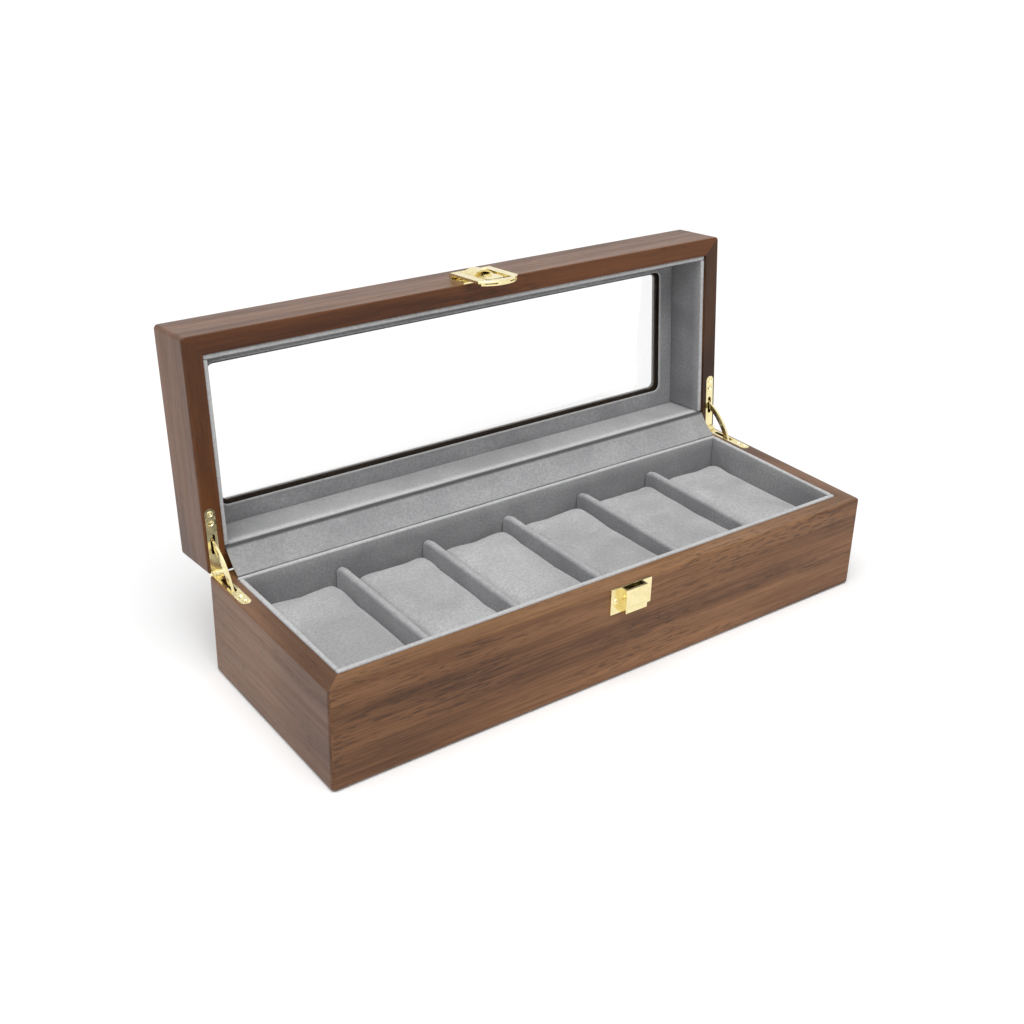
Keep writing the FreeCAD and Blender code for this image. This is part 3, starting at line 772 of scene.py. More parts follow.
def ruffle(piece: Piece, size: float, pitch: float, seed: float) -> None:
    """Moves the points a little along their normals, as cloth stuck to card does.

    Args:
        piece: the piece to ruffle.
        size: largest move.
        pitch: distance between waves.
        seed: offset into the noise.
    """
    mesh = piece.data
    normals = [v.normal.copy() for v in mesh.vertices]
    for vertex, normal in zip(mesh.vertices, normals):
        at = vertex.co / pitch + Vector((seed, seed * 1.7, seed * 0.6))
        vertex.co += normal * (noise.noise(at) * size)
    mesh.update()


def mark(piece: Piece, name: str, amount: Callable[[Vector, Vector], float]) -> None:
    """Writes a 0 to 1 mark on every point, which the velvet finish reads.

    Args:
        piece: the piece to mark.
        name: "crest" for a painted highlight where a fold catches the light, "crease" for painted shade
            where it lies in shade.
        amount: gives the mark from a point and its normal.
    """
    mesh = piece.data
    layer = mesh.attributes.new(name, "FLOAT", "POINT")
    layer.data.foreach_set("value", [min(max(amount(v.co, v.normal), 0.0), 1.0) for v in mesh.vertices])


def mark_painted_highlight(piece: Piece, amount: Callable[[Vector, Vector], float]) -> None:
    """Marks where a painted highlight brightens a fold."""
    mark(piece, "crest", amount)


def move_mesh(piece: Piece, matrix: Matrix) -> None:
    """Moves a piece's points and leaves its object at the origin."""
    piece.data.transform(matrix)
    piece.data.update()


def tree_modifier(piece: Piece, tree: Tree, values: dict[str, object]) -> None:
    """Adds a geometry tree to a piece and sets its inputs by their identifiers.

    Args:
        piece: the piece that the tree works on.
        tree: the geometry node tree.
        values: input name and value.
    """
    modifier = piece.modifiers.new(tree.name, "NODES")
    modifier.node_group = tree
    for item in tree.interface.items_tree:
        if item.item_type == "SOCKET" and item.in_out == "INPUT" and item.name in values:
            modifier[item.identifier] = values[item.name]


def new_geometry(name: str, takes: Sequence[tuple[str, str, object]]) -> tuple[Tree, Wiring, dict]:
    """Starts a geometry node tree.

    Args:
        name: the tree's name.
        takes: name, socket type and first value of each input after the geometry.

    Returns:
        The tree, its wiring and its input sockets by name.
    """
    shape = ("Geometry", "NodeSocketGeometry")
    return new_tree(name, "GeometryNodeTree", ((*shape, None), *takes), (shape,))


def end_geometry(w: Wiring, shape: Socket, finish: Socket) -> None:
    """Ends a geometry tree: real instances, one material, smooth shading."""
    real = w.out("GeometryNodeRealizeInstances", {0: shape})
    smooth = w.out("GeometryNodeSetShadeSmooth", {0: real})
    painted = w.out("GeometryNodeSetMaterial", {"Geometry": smooth, "Material": finish})
    w.add("NodeGroupOutput", {0: painted})


def roll_tree() -> Tree:
    """Cloth rolled over an edge: a round bead that follows a path."""
    tree, w, take = new_geometry("rolled_edge", (("Roll Radius", FLOAT, 0.0005),
                                                 ("Sides", "NodeSocketInt", 10),
                                                 ("Cloth", "NodeSocketMaterial", None)))
    path = w.out("GeometryNodeMeshToCurve", {0: take["Geometry"]})
    ring = w.add("GeometryNodeCurvePrimitiveCircle", {"Resolution": take["Sides"],
                                                      "Radius": take["Roll Radius"]})
    tube = w.out("GeometryNodeCurveToMesh", {"Curve": path, "Profile Curve": ring.outputs[0]})
    end_geometry(w, tube, take["Cloth"])
    return tree


def screw_tree() -> Tree:
    """A domed screw head with a cross recess at every point, turned to face the point's direction."""
    tree, w, take = new_geometry("screw_heads", (("Head Radius", FLOAT, 0.0014), ("Dome", FLOAT, 0.0006),
                                                 ("Recess Length", FLOAT, 0.0017),
                                                 ("Recess Width", FLOAT, 0.0004),
                                                 ("Recess Depth", FLOAT, 0.0005),
                                                 ("Seed", "NodeSocketInt", 5),
                                                 ("Metal", "NodeSocketMaterial", None)))
    ball = w.out("GeometryNodeMeshUVSphere", {"Segments": 28, "Rings": 14, "Radius": 1.0})
    size = w.add("ShaderNodeCombineXYZ", {0: take["Head Radius"], 1: take["Head Radius"], 2: take["Dome"]})
    dome = w.out("GeometryNodeTransform", {"Geometry": ball, "Scale": size.outputs[0]})
    bars = []
    lift = w.out("ShaderNodeCombineXYZ", {2: take["Dome"]})
    for across in (True, False):
        sides = (take["Recess Length"], take["Recess Width"]) if across else (take["Recess Width"],
                                                                              take["Recess Length"])
        deep = w.times(take["Recess Depth"], 2.0)
        shape = w.out("ShaderNodeCombineXYZ", {0: sides[0], 1: sides[1], 2: deep})
        bar = w.out("GeometryNodeMeshCube", {"Size": shape})
        bars.append(w.out("GeometryNodeTransform", {"Geometry": bar, "Translation": lift}))
    cut = w.add("GeometryNodeMeshBoolean", operation="DIFFERENCE")
    w.feed(cut.inputs[0], dome)
    for bar in bars:
        w.feed(cut.inputs[1], bar)
    facing = w.out("GeometryNodeInputNamedAttribute", {"Name": "facing"}, data_type="FLOAT_VECTOR")
    aimed = w.out("FunctionNodeAlignRotationToVector", {"Vector": facing}, axis="Z")
    spin = w.add("FunctionNodeRandomValue", {2: 0.0, 3: 1.5, "Seed": take["Seed"]},
                 data_type="FLOAT").outputs[1]
    local = w.out("ShaderNodeCombineXYZ", {2: spin})
    turn = w.out("FunctionNodeEulerToRotation", {0: local})
    both = w.out("FunctionNodeRotateRotation", {0: aimed, 1: turn}, rotation_space="LOCAL")
    placed = w.out("GeometryNodeInstanceOnPoints", {"Points": take["Geometry"], "Instance": cut.outputs[0],
                                                    "Rotation": both})
    end_geometry(w, placed, take["Metal"])
    return tree


# ---------------------------------------------------------------------------
# sub-assemblies
# ---------------------------------------------------------------------------
@dataclass
class Woodwork:
    """The eight mitred walls, the lid's top frame and the base panel."""

    finishes: Finishes
    nodes: dict[str, Piece]

    def dress(self) -> None:
        """Gives each board its own cut of walnut, with tints that hold painted light and shade."""
        for body, on_lid, first_seed in (("base", False, 0.0), ("lid", True, 5.0)):
            for i, (side, run) in enumerate((("front", Run.LENGTHWISE), ("rear", Run.LENGTHWISE),
                                             ("left", Run.CROSSWISE), ("right", Run.CROSSWISE))):
                # Per-board tints were fitted to each face's lit tone: the side boards' less saturated tint
                # is painted sheen, and the lid's boards are tinted as painted light and shade.
                if run is Run.CROSSWISE:
                    cut = {"ring": 0.034, "slope": 0.75, "heart": 0.08, "figure": 0.42, "fibre": 0.20,
                           "tint": (0.72, 0.68, 0.74) if on_lid else (0.76, 0.77, 0.92)}
                else:
                    cut = {"ring": 0.018, "slope": 0.05, "heart": 0.075, "figure": 0.14}
                # Rim tints on the lid were fitted to each rim's lit tone, so they hold painted light and
                # shade; the right rim is darkened most.
                if on_lid and run is Run.LENGTHWISE:
                    cut.update(tint=(0.76, 0.74, 0.82), rim_tint=(0.71, 0.51, 0.27))
                elif on_lid:
                    cut["rim_tint"] = (0.95, 0.73, 0.32) if side == "left" else (0.36, 0.31, 0.21)
                finish = Walnut(f"walnut_{body}_{side}", run, on_lid, first_seed + 1.3 * i, **cut)
                dress(self.nodes[f"{body}_{side}_wall"], self.finishes.walnut(finish))
        top = Walnut("walnut_lid_top", Run.LENGTHWISE, True, 11.0)
        opening = Vector((133.5 * MM, 33.0 * MM, 0.0))
        dress(self.nodes["lid_top_frame"], self.finishes.top_frame(top, opening, (0.030, 0.019, 0.012)))
        dress(self.nodes["base_floor"], self.finishes.panel)
        log.info("woodwork dressed")


@dataclass
class Linings:
    """Card boards wrapped in velvet, in the base and in the lid."""

    finishes: Finishes
    turn: LidTurn
    nodes: dict[str, Piece]
    rounding: float = 0.9 * MM
    step: float = 5.0 * MM
    fine_step: float = 0.9 * MM
    wave: float = 0.16 * MM
    # Painted highlight: how far it fades down from each lining rim, and the height and width of its band on
    # the lid's rear lining.
    rim_fade: float = 1.3 * MM
    highlight_height: float = 3.4 * MM
    highlight_width: float = 2.2 * MM
    window: tuple[float, float, float] = (135.4 * MM, 35.0 * MM, 4.0 * MM)

    def board(self, node: str, body: str, rim: float, rim_side: float, seed: float) -> Piece:
        """Makes one wrapped board in place of its plain card.

        Args:
            node: the card's node.
            body: the body that it rides on.
            rim: height of its rim edge, drawn with the lid shut.
            rim_side: 1 if the rim edge is the board's top, -1 if it is the bottom.
            seed: offset of its waves.

        Returns:
            The board.
        """
        on_lid = body == "lid"
        low, high = shut_box(self.nodes[node], self.turn if on_lid else None)
        step = self.fine_step if node == "lid_lining_rear" else self.step
        piece = soft_box(f"velvet_{node}", low, high,
                         min(self.rounding, (high - low)[0] / 2.05, (high - low)[1] / 2.05), step)
        ruffle(piece, self.wave, 26.0 * MM, seed)

        def fold(at: Vector, normal: Vector) -> float:
            """Painted highlight: bright on the rim edge, fading down the face; on the lid's rear lining, a
            band a little above the rim.
            """
            if node == "lid_lining_rear":
                return 0.8 * math.exp(-((at.z - low.z - self.highlight_height) / self.highlight_width) ** 2)
            depth = (rim - at.z) * rim_side
            return 1.0 - max(depth, 0.0) / self.rim_fade

        mark_painted_highlight(piece, fold)
        # Painted shade: darkest along the rim of the lid's rear lining, where it meets the hinge cloth, and
        # fainter along its top edge under the card.
        if node == "lid_lining_rear":
            mark(piece, "crease", lambda at, normal: max(1.5 - (at.z - low.z) / (1.2 * MM),
                                                         0.55 - (high.z - at.z) / (1.8 * MM)))
        if on_lid:
            move_mesh(piece, self.turn.matrix)
        # The lid's rear lining takes the lighter copy of the velvet as painted light, its right lining the
        # darker copy as painted shade.
        pile = {"lid_lining_rear": self.finishes.painted_light_pile,
                "lid_lining_right": self.finishes.shade}.get(node, self.finishes.velvet)
        dress(piece, pile)
        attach(piece, body)
        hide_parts(node)
        return piece

    def build(self) -> None:
        """Makes the boards, the bay floor and the rolled window edge."""
        for i, side in enumerate(("front", "rear", "left", "right")):
            node = f"base_lining_{side}"
            self.board(node, "base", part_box(node)[1].z, 1.0, 2.0 * i)
            node = f"lid_lining_{side}"
            low, _ = shut_box(self.nodes[node], self.turn)
            self.board(node, "lid", low.z, -1.0, 20.0 + 2.0 * i)
        low, high = shut_box(self.nodes["base_lining_floor"], None)
        floor = soft_box("velvet_bay_floor", low, high, 0.5 * MM, 6.0 * MM)
        dress(floor, self.finishes.velvet)
        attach(floor, "base")
        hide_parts("base_lining_floor")
        dress(self.nodes["lid_lining_top"], self.finishes.velvet)
        self.window_roll()
        log.info("linings built")

    def window_roll(self) -> None:
        """Rolls the velvet over the edge of the window card."""
        low, high = shut_box(self.nodes["lid_lining_top"], self.turn)
        verts = [Vector((x, y, low.z + 0.35 * MM)) for x, y in rounded_loop(*self.window, 6)]
        piece = bpy.data.objects.new("velvet_window_roll", bpy.data.meshes.new("velvet_window_roll"))
        bpy.context.scene.collection.objects.link(piece)
        edges = [(i, (i + 1) % len(verts)) for i in range(len(verts))]
        piece.data.from_pydata([tuple(v) for v in verts], edges, [])
        tree_modifier(piece, roll_tree(), {"Roll Radius": 0.62 * MM, "Sides": 10,
                                           "Cloth": self.finishes.velvet})
        bake_modifiers(piece)
        # Painted highlight over the whole roll.
        mark_painted_highlight(piece, lambda at, normal: 0.55)
        move_mesh(piece, self.turn.matrix)
        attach(piece, "lid")


def rounded_loop(half_x: float, half_y: float, corner: float, steps: int) -> list[tuple[float, float]]:
    """Points round a rectangle with rounded corners.

    Args:
        half_x: half its length.
        half_y: half its depth.
        corner: corner radius.
        steps: points in each corner.

    Returns:
        The points, anticlockwise.
    """
    loop = []
    for cx, cy, start in ((1, 1, 0), (-1, 1, 90), (-1, -1, 180), (1, -1, 270)):
        for i in range(steps + 1):
            a = math.radians(start + 90.0 * i / steps)
            loop.append((cx * (half_x - corner) + corner * math.cos(a),
                         cy * (half_y - corner) + corner * math.sin(a)))
    return loop


def shut_box(node: Piece, turn: Optional[LidTurn]) -> tuple[Vector, Vector]:
    """Lowest and highest corner of a node, with the lid shut.

    Args:
        node: the plain solid's object.
        turn: the lid's turn, or None for a node of the base.

    Returns:
        The two corners.
    """
    back = turn.matrix.inverted() if turn else Matrix.Identity(4)
    points = [back @ v.co for v in node.data.vertices]
    return (Vector([min(p[i] for p in points) for i in range(3)]),
            Vector([max(p[i] for p in points) for i in range(3)]))


@dataclass
class Dividers:
    """Thin boards between the bays, wrapped in velvet, rounded along the top."""

    finishes: Finishes
    end_radius: float = 5.0 * MM
    corner_steps: int = 7
    layers: int = 9

    def build(self) -> None:
        """Makes each divider in place of its plain board."""
        names = sorted(n for n in bpy.data.objects.keys() if n.startswith("divider_"))
        for number, node in enumerate(names, 1):
            low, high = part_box(node)
            self.one(node, number, Vector(low), Vector(high))
        log.info("%d dividers built", len(names))

    def one(self, node: str, number: int, low: Vector, high: Vector) -> None:
        """Makes one divider.

        Args:
            node: its plain solid.
            number: its number from the left.
            low: lowest corner.
            high: highest corner.
        """
        piece = soft_box(f"velvet_divider_{number}", low, high, (high.x - low.x) / 2.02, 4.0 * MM)
        middle_y = (low.y + high.y) / 2
        reach = (high.y - low.y) / 2
        top = high.z
        for vertex in piece.data.vertices:
            into = abs(vertex.co.y - middle_y) - (reach - self.end_radius)
            if into > 0.0 and vertex.co.z > low.z + 8.0 * MM:
                drop = self.end_radius - math.sqrt(max(self.end_radius ** 2 - into ** 2, 0.0))
                share = min(max((vertex.co.z - (top - 14.0 * MM)) / (14.0 * MM), 0.0), 1.0)
                vertex.co.z -= drop * share
        ruffle(piece, 0.22 * MM, 17.0 * MM, 3.0 * number)
        # Painted highlight on the top of each divider, strongest where it faces straight up.
        mark_painted_highlight(piece, lambda at, normal: 0.5 * max(normal.z,
                                                       0.0) ** 2 * (1.0 if at.z > top - 6 * MM else 0.0))
        dress(piece, self.finishes.velvet)
        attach(piece, "base")
        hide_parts(node)


@dataclass
class Pillows:
    """Six foam pillows in velvet covers, one in each bay."""

    finishes: Finishes
    count: int = 6
    scale_up: float = 10.0
    shrink: float = 0.5 * MM
    corner: float = 6.0 * MM
    voxel: float = 2.3 * MM
    pressure: float = 1.6
    smoothing: int = 7
    cap: float = 1.5 * MM
    frames: int = 20
    seam_inset: float = 3.2 * MM
    seam_width: float = 1.5 * MM
    seam_depth: float = 0.45 * MM
    fold_reach: float = 14.0 * MM
    fold_depth_mm: float = 0.4

    def build(self) -> None:
        """Makes and fills every pillow."""
        for number in range(1, self.count + 1):
            self.one(number)
        log.info("%d pillows built", self.count)

    def one(self, number: int) -> None:
        """Makes one pillow in place of its plain block."""
        node = f"watch_pillow_{number}"
        low, high = (Vector(c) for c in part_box(node))
        middle = (low + high) / 2
        size = high - low
        half = size / 2 - Vector((self.shrink * 0.4, self.shrink, self.shrink))
        grow = self.scale_up
        piece = soft_box(f"velvet_pillow_{number}", -half * grow, half * grow, self.corner * grow,
                         3.0 * MM * grow)
        remesh = piece.modifiers.new("even", "REMESH")
        remesh.mode = "VOXEL"
        remesh.voxel_size = self.voxel * grow
        remesh.use_smooth_shade = True
        bake_modifiers(piece)
        for vertex in piece.data.vertices:
            at = vertex.co / (18.0 * MM * grow) + Vector((number * 4.1, 0.0, number * 1.9))
            vertex.co *= 1.0 + 0.009 * noise.noise(at)
        self.fill(piece)
        even_out = piece.modifiers.new("even out", "SMOOTH")
        even_out.factor = 0.5
        even_out.iterations = self.smoothing
        bake_modifiers(piece)
        move_mesh(piece, Matrix.Translation(middle) @ Matrix.Scale(1.0 / grow, 4))
        self.settle(piece, low, high)
        smooth = piece.modifiers.new("smooth", "SUBSURF")
        smooth.levels = 1
        smooth.render_levels = 1
        bake_modifiers(piece)
        self.seam(piece, low, high)
        # Painted highlight where the cover turns over its top edges.
        mark_painted_highlight(piece, lambda at, normal: self.painted_edge_highlight(at, normal, low, high))
        dress(piece, self.finishes.pillow)
        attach(piece, f"pillow_{number}")
        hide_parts(node)

    def fill(self, piece: Piece) -> None:
        """Blows the cover out a little with a cloth simulation and keeps the result.

        Args:
            piece: the pillow, drawn large.
        """
        start = [v.co.copy() for v in piece.data.vertices]
        cloth = piece.modifiers.new("cover", "CLOTH")
        cloth.settings.quality = 5
        cloth.settings.use_pressure = True
        cloth.settings.uniform_pressure_force = self.pressure
        cloth.settings.effector_weights.gravity = 0.0
        cloth.collision_settings.use_collision = False
        cloth.point_cache.frame_start = 1
        cloth.point_cache.frame_end = self.frames
        scene = bpy.context.scene
        for frame_number in range(1, self.frames + 1):
            scene.frame_set(frame_number)
        bake_modifiers(piece)
        scene.frame_set(1)
        limit = self.cap * self.scale_up
        moved = 0.0
        for vertex, was in zip(piece.data.vertices, start):
            step = vertex.co - was
            moved = max(moved, step.length)
            if step.length > limit:
                vertex.co = was + step.normalized() * limit
        log.info("pillow cover moved %.1f mm at most", moved / self.scale_up / MM)

    def settle(self, piece: Piece, low: Vector, high: Vector) -> None:
        """Rests the pillow on the bay floor and keeps it between the dividers.

        Args:
            piece: the pillow.
            low: lowest corner of its space.
            high: highest corner of its space.
        """
        slack = 0.3 * MM
        for vertex in piece.data.vertices:
            co = vertex.co
            co.x = min(max(co.x, low.x - slack), high.x + slack)
            co.y = min(max(co.y, low.y - 1.2 * MM), high.y + 1.2 * MM)
            co.z = max(co.z, low.z)
        piece.data.update()

    def seam(self, piece: Piece, low: Vector, high: Vector) -> None:
        """Presses the seam of each end panel into the cover, dents soft folds near the ends of the top, and
        paints shade along the seams.

        Args:
            piece: the pillow.
            low: lowest corner of its space.
            high: highest corner of its space.
        """
        mesh = piece.data
        normals = [v.normal.copy() for v in mesh.vertices]
        seams = (low.x + self.seam_inset, high.x - self.seam_inset)
        for vertex, normal in zip(mesh.vertices, normals):
            for plane in seams:
                off = abs(vertex.co.x - plane) / self.seam_width
                if off < 1.0 and abs(normal.x) < 0.8:
                    vertex.co -= normal * self.seam_depth * (1.0 - off) ** 2
            if normal.z > 0.2:
                at = vertex.co
                near = min(abs(at.y - low.y), abs(at.y - high.y)) / self.fold_reach
                fold = noise.noise(Vector((at.x / (5.5 * MM), at.y / (30.0 * MM), low.x * 40.0)))
                vertex.co -= normal * self.fold_depth_mm * MM * max(fold, 0.0) * max(1.0 - near, 0.0)
        mesh.update()
        # Painted shade along each pressed seam.
        mark(piece, "crease", lambda at,
             normal: 0.55 * (1.0 - min(abs(at.x - s) for s in seams) / (0.9 * MM)) if abs(normal.x) < 0.85
             else 0.0)

    def painted_edge_highlight(self, at: Vector, normal: Vector, low: Vector, high: Vector) -> float:
        """Painted highlight on the pile where the cover turns over an edge near the top, strongest where
        the normal faces half up.
        """
        tilt = max(normal.z, 0.0) * (1.0 - max(normal.z, 0.0))
        return 0.9 * tilt if at.z > high.z - 9.0 * MM else 0.0


@dataclass
class HingeCloth:
    """Strip of velvet from the base's rear lining up to the lid's rear lining."""

    finishes: Finishes
    half_length: float = 145.4 * MM
    thickness: float = 0.5 * MM
    rows: int = 34
    columns: int = 120
    sag: float = 0.9 * MM
    base_tuck: tuple[float, float] = (0.8 * MM, 0.2 * MM)
    lid_tuck: tuple[float, float] = (0.35 * MM, 0.05 * MM)

    def build(self) -> None:
        """Makes the strip and bends it across the hinge."""
        low, high = (Vector(c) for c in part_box("hinge_cloth"))
        start = Vector((0.0, low.y + self.base_tuck[0], low.z + self.base_tuck[1]))
        end = Vector((0.0, high.y - self.lid_tuck[0], high.z - self.lid_tuck[1]))
        across = end - start
        out = Vector((0.0, -across.z, across.y)).normalized()
        verts, faces = [], []
        for i in range(self.rows + 1):
            t = i / self.rows
            for j in range(self.columns + 1):
                x = -self.half_length + 2 * self.half_length * j / self.columns
                dip = -self.sag * math.sin(math.pi * t)
                roll = 0.35 * MM * noise.noise(Vector((x / (38 * MM), t * 1.6,
                                                       4.0))) * math.sin(math.pi * t)
                spot = start + across * t + out * (dip + roll)
                verts.append((x, spot.y, spot.z))
        wide = self.columns + 1
        for i in range(self.rows):
            for j in range(self.columns):
                k = i * wide + j
                faces.append([k, k + 1, k + wide + 1, k + wide])
        piece = make_piece("velvet_hinge_cloth", verts, faces)
        if piece.data.polygons[0].normal.dot(out) < 0:
            piece.data.flip_normals()
        solid = piece.modifiers.new("thickness", "SOLIDIFY")
        solid.thickness = self.thickness
        solid.offset = 0.0
        bake_modifiers(piece)
        length = across.length
        # Painted shade: the strip is darkened along its lid end, where it meets the lid's rear lining.
        mark(piece, "crease", lambda at,
             normal: 1.4 - (length - (at - start).dot(across) / length) / (1.0 * MM))
        mark(piece, "crest", lambda at, normal: 0.0)
        dress(piece, self.finishes.strip)
        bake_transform(piece)
        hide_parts("hinge_cloth")
        log.info("hinge cloth built, %.1f mm across", across.length / MM)


@dataclass
class Underside:
    """Thin felt glued under the base."""

    finishes: Finishes
    corner: float = 2.0 * MM
    inner_corner: float = 1.8 * MM
    corner_steps: int = 5

    def build(self) -> None:
        """Makes the felt in place of its plain sheet."""
        low, high = (Vector(c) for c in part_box("base_underlay"))
        thick = high.z - low.z
        half_x, half_y = (high.x - low.x) / 2, (high.y - low.y) / 2
        loop = rounded_loop(half_x, half_y, self.corner, self.corner_steps)
        inner = rounded_loop(half_x - thick / 3, half_y - thick / 3, self.inner_corner, self.corner_steps)
        verts, faces = [], []
        for ring, z in ((inner, low.z), (loop, low.z + thick / 3), (loop, high.z)):
            verts += [(x, y, z) for x, y in ring]
        n = len(loop)
        for layer in range(2):
            for i in range(n):
                j = (i + 1) % n
                faces.append([layer * n + i, layer * n + j, (layer + 1) * n + j, (layer + 1) * n + i])
        faces.append(list(range(n)))
        faces.append(list(range(2 * n, 3 * n)))
        piece = make_piece("felt_underlay", verts, faces, smooth=False)
        dress(piece, self.finishes.felt)
        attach(piece, "base")
        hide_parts("base_underlay")
        log.info("felt built")


@dataclass
class ScrewSpot:
    """Where one screw head sits and which way it faces."""

    at: Vector
    facing: Vector


@dataclass
class Hardware:
    """Gilt hinges, stays, catch and hasp, with their screws."""

    finishes: Finishes
    turn: LidTurn
    nodes: dict[str, Piece]

    def dress(self) -> None:
        """Gives every metal piece its finish and adds the screw heads."""
        for name in ("catch_plate", "hasp", "hasp_pin", "hasp_plate", "hinge_pins", "hinge_leaf_base_left",
                     "hinge_leaf_base_right", "hinge_leaf_lid_left", "hinge_leaf_lid_right",
                     "hinge_stay_left", "hinge_stay_right"):
            dress(self.nodes[name], self.finishes.gilt)
        tree = screw_tree()
        self.screws(tree, "hinge_screws_base", "base", 1.25 * MM, 0.12 * MM, Vector((0.0, 0.0, 1.0)), False)
        self.screws(tree, "hinge_screws_lid", "lid", 1.25 * MM, 0.12 * MM, Vector((0.0, 0.0, -1.0)), True)
        self.screws(tree, "catch_screws", "base", 1.5 * MM, 0.65 * MM, Vector((0.0, -1.0, 0.0)), False)
        self.screws(tree, "hasp_plate_screws", "lid", 1.5 * MM, 0.65 * MM, Vector((0.0, -1.0, 0.0)), True)
        dress(self.nodes["lid_glass"], self.finishes.pane)
        log.info("hardware dressed")

    def screws(self, tree: Tree, node: str, body: str, radius: float, dome: float, facing: Vector,
               on_lid: bool) -> None:
        """Puts better heads in place of one node of plain screws.

        Args:
            tree: the geometry tree that makes the heads.
            node: the plain screws' node.
            body: the body they ride on.
            radius: head radius.
            dome: how far the head stands up.
            facing: the way they face, drawn with the lid shut.
            on_lid: whether they are turned open with the lid.
        """
        back = self.turn.matrix.inverted() if on_lid else Matrix.Identity(4)
        points = [back @ v.co for v in self.nodes[node].data.vertices]
        spots = self.head_spots(points, facing, 0.5 * MM if facing.y else dome + 0.02 * MM)
        mesh = bpy.data.meshes.new(f"heads_{node}")
        mesh.from_pydata([tuple(s.at) for s in spots], [], [])
        way = mesh.attributes.new("facing", "FLOAT_VECTOR", "POINT")
        way.data.foreach_set("vector", [c for s in spots for c in s.facing])
        piece = bpy.data.objects.new(f"heads_{node}", mesh)
        bpy.context.scene.collection.objects.link(piece)
        tree_modifier(piece, tree, {"Head Radius": radius, "Dome": dome, "Recess Length": radius * 1.05,
                                    "Recess Width": radius * 0.20, "Recess Depth": dome * 0.75, "Seed": 5,
                                    "Metal": self.finishes.gilt})
        bake_modifiers(piece)
        if on_lid:
            move_mesh(piece, self.turn.matrix)
        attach(piece, body)
        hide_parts(node)
        log.info("%s: %d heads", node, len(spots))

    def head_spots(self, points: Iterable[Vector], facing: Vector, sink: float) -> list[ScrewSpot]:
        """Finds the middle of each screw and the height of the plate it sits on.

        Args:
            points: all points of the plain screws.
            facing: the way they face.
            sink: how far a head's middle lies below the top of the plain screw.

        Returns:
            One spot for each screw.
        """
        axis = max(range(3), key=lambda i: abs(facing[i]))
        flat = [i for i in range(3) if i != axis]
        heaps: list[list[Vector]] = []
        for point in points:
            for heap in heaps:
                if all(abs(heap[0][i] - point[i]) < 3.2 * MM for i in flat):
                    heap.append(point)
                    break
            else:
                heaps.append([point])
        spots = []
        for heap in heaps:
            at = Vector((0.0, 0.0, 0.0))
            for i in flat:
                at[i] = (min(p[i] for p in heap) + max(p[i] for p in heap)) / 2
            top = max(p[axis] * facing[axis] for p in heap)
            at[axis] = (top - sink) * facing[axis]
            spots.append(ScrewSpot(at, facing))
        return spots


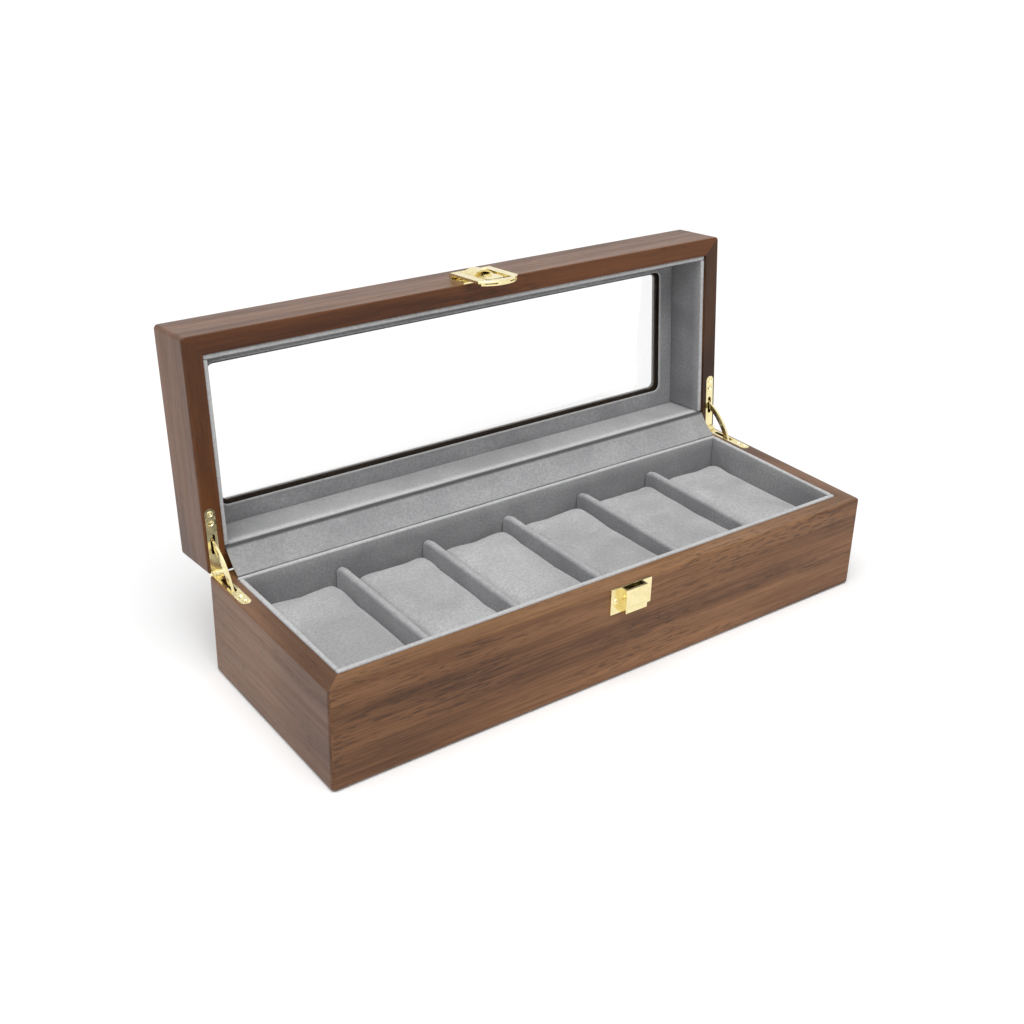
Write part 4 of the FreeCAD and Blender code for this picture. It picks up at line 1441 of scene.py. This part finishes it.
@dataclass
class Studio:
    """Camera, pale floor and soft light."""

    eye: Point = (-0.36325, -0.45601, 0.35839)
    turn_degrees: Point = (64.5486, -1.8829, -36.9620)
    lens: float = 47.974
    shift: tuple[float, float] = (-0.03251, -0.03535)
    floor_size: float = 30.0
    floor_white: float = 0.93
    backdrop: float = 1.0
    room: float = 0.22
    aim: Vector = field(default_factory=lambda: Vector((0.0, 0.0, 0.05)))

    def build(self) -> None:
        """Makes the camera, the floor and the lights."""
        self.camera()
        self.floor()
        self.sky()
        self.overhead("overhead", (-0.25, -0.30, 1.0), 60.0, 3.1)
        self.soft_light("front", (-0.5, -1.5, 0.7), 1.4, 3.0)
        bpy.context.scene.view_settings.view_transform = "Standard"
        log.info("studio built")

    def camera(self) -> None:
        """Puts the camera where the box is seen from."""
        data = bpy.data.cameras.new("camera")
        data.lens = self.lens
        data.sensor_width = 36.0
        data.shift_x, data.shift_y = self.shift
        data.clip_start, data.clip_end = 0.01, 100.0
        camera = bpy.data.objects.new("camera", data)
        camera.location = self.eye
        camera.rotation_euler = Euler([math.radians(a) for a in self.turn_degrees], "XYZ")
        bpy.context.scene.collection.objects.link(camera)
        bpy.context.scene.camera = camera

    def floor(self) -> None:
        """Lays a wide pale floor just under the box."""
        half = self.floor_size / 2
        floor = make_piece("floor", [(-half, -half, 0), (half, -half, 0), (half, half, 0),
                                     (-half, half, 0)], [(0, 1, 2, 3)], smooth=False)
        if floor.data.polygons[0].normal.z < 0:
            floor.data.flip_normals()
        material, w, shader = new_material("pale_floor", (0.9, 0.9, 0.9))
        w.fill(shader, {"Base Color": (*[self.floor_white] * 3, 1.0), "Roughness": 0.9,
                        "Specular IOR Level": 0.1})
        dress(floor, material)

    def sky(self) -> None:
        """Puts a white room round the box, dimmer as a light than as a backdrop."""
        world = bpy.data.worlds.new("room")
        world.use_nodes = True
        w = Wiring(world.node_tree)
        background = world.node_tree.nodes["Background"]
        ray = w.add("ShaderNodeLightPath").outputs["Is Diffuse Ray"]
        w.fill(background, {"Color": (1.0, 1.0, 1.0, 1.0),
                            "Strength": w.spread(ray, 0.0, 1.0, self.backdrop, self.room)})
        bpy.context.scene.world = world

    def overhead(self, name: str, towards: Point, spread_degrees: float, strength: float) -> None:
        """Hangs a very wide soft light far above.

        Args:
            name: the light's name.
            towards: direction that points at the light.
            spread_degrees: how wide it looks from the box.
            strength: light that falls on the floor.
        """
        data = bpy.data.lights.new(name, "SUN")
        data.energy = strength
        data.angle = math.radians(spread_degrees)
        self.hang(data, Vector(towards) * 2.0, -Vector(towards))

    def soft_light(self, name: str, place: Point, size: float, power: float) -> None:
        """Hangs one large soft panel that faces the box.

        Args:
            name: the light's name.
            place: where it hangs.
            size: side of the panel.
            power: strength in watts.
        """
        data = bpy.data.lights.new(name, "AREA")
        data.shape = "SQUARE"
        data.size = size
        data.energy = power
        self.hang(data, Vector(place), self.aim - Vector(place))

    def hang(self, data: bpy.types.Light, place: Vector, facing: Vector) -> None:
        """Hangs a light at a place, turned the way it faces."""
        light = bpy.data.objects.new(data.name, data)
        light.location = place
        light.rotation_euler = facing.to_track_quat("-Z", "Y").to_euler()
        bpy.context.scene.collection.objects.link(light)


def main() -> None:
    """Builds the looks of the watch box around its solids."""
    logging.basicConfig(level=logging.INFO, format="%(name)s: %(message)s")
    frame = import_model()
    turn = LidTurn.read(frame["joints"])
    nodes = frame["nodes"]
    left = shut_box(nodes["base_left_wall"], None)[0]
    right = shut_box(nodes["base_right_wall"], None)[1]
    rear = shut_box(nodes["base_rear_wall"], None)[1]
    corners = []
    for wall, lid_turn in (("base_front_wall", None), ("lid_front_wall", turn)):
        low, high = shut_box(nodes[wall], lid_turn)
        corners += [Vector((left.x, low.y, low.z)), Vector((right.x, rear.y, high.z))]
    finishes = Finishes(SharedGroups.make(), turn, *corners)
    Woodwork(finishes, nodes).dress()
    Linings(finishes, turn, nodes).build()
    Dividers(finishes).build()
    Pillows(finishes).build()
    HingeCloth(finishes).build()
    Underside(finishes).build()
    Hardware(finishes, turn, nodes).dress()
    Studio().build()


if __name__ == "__main__":
    main()
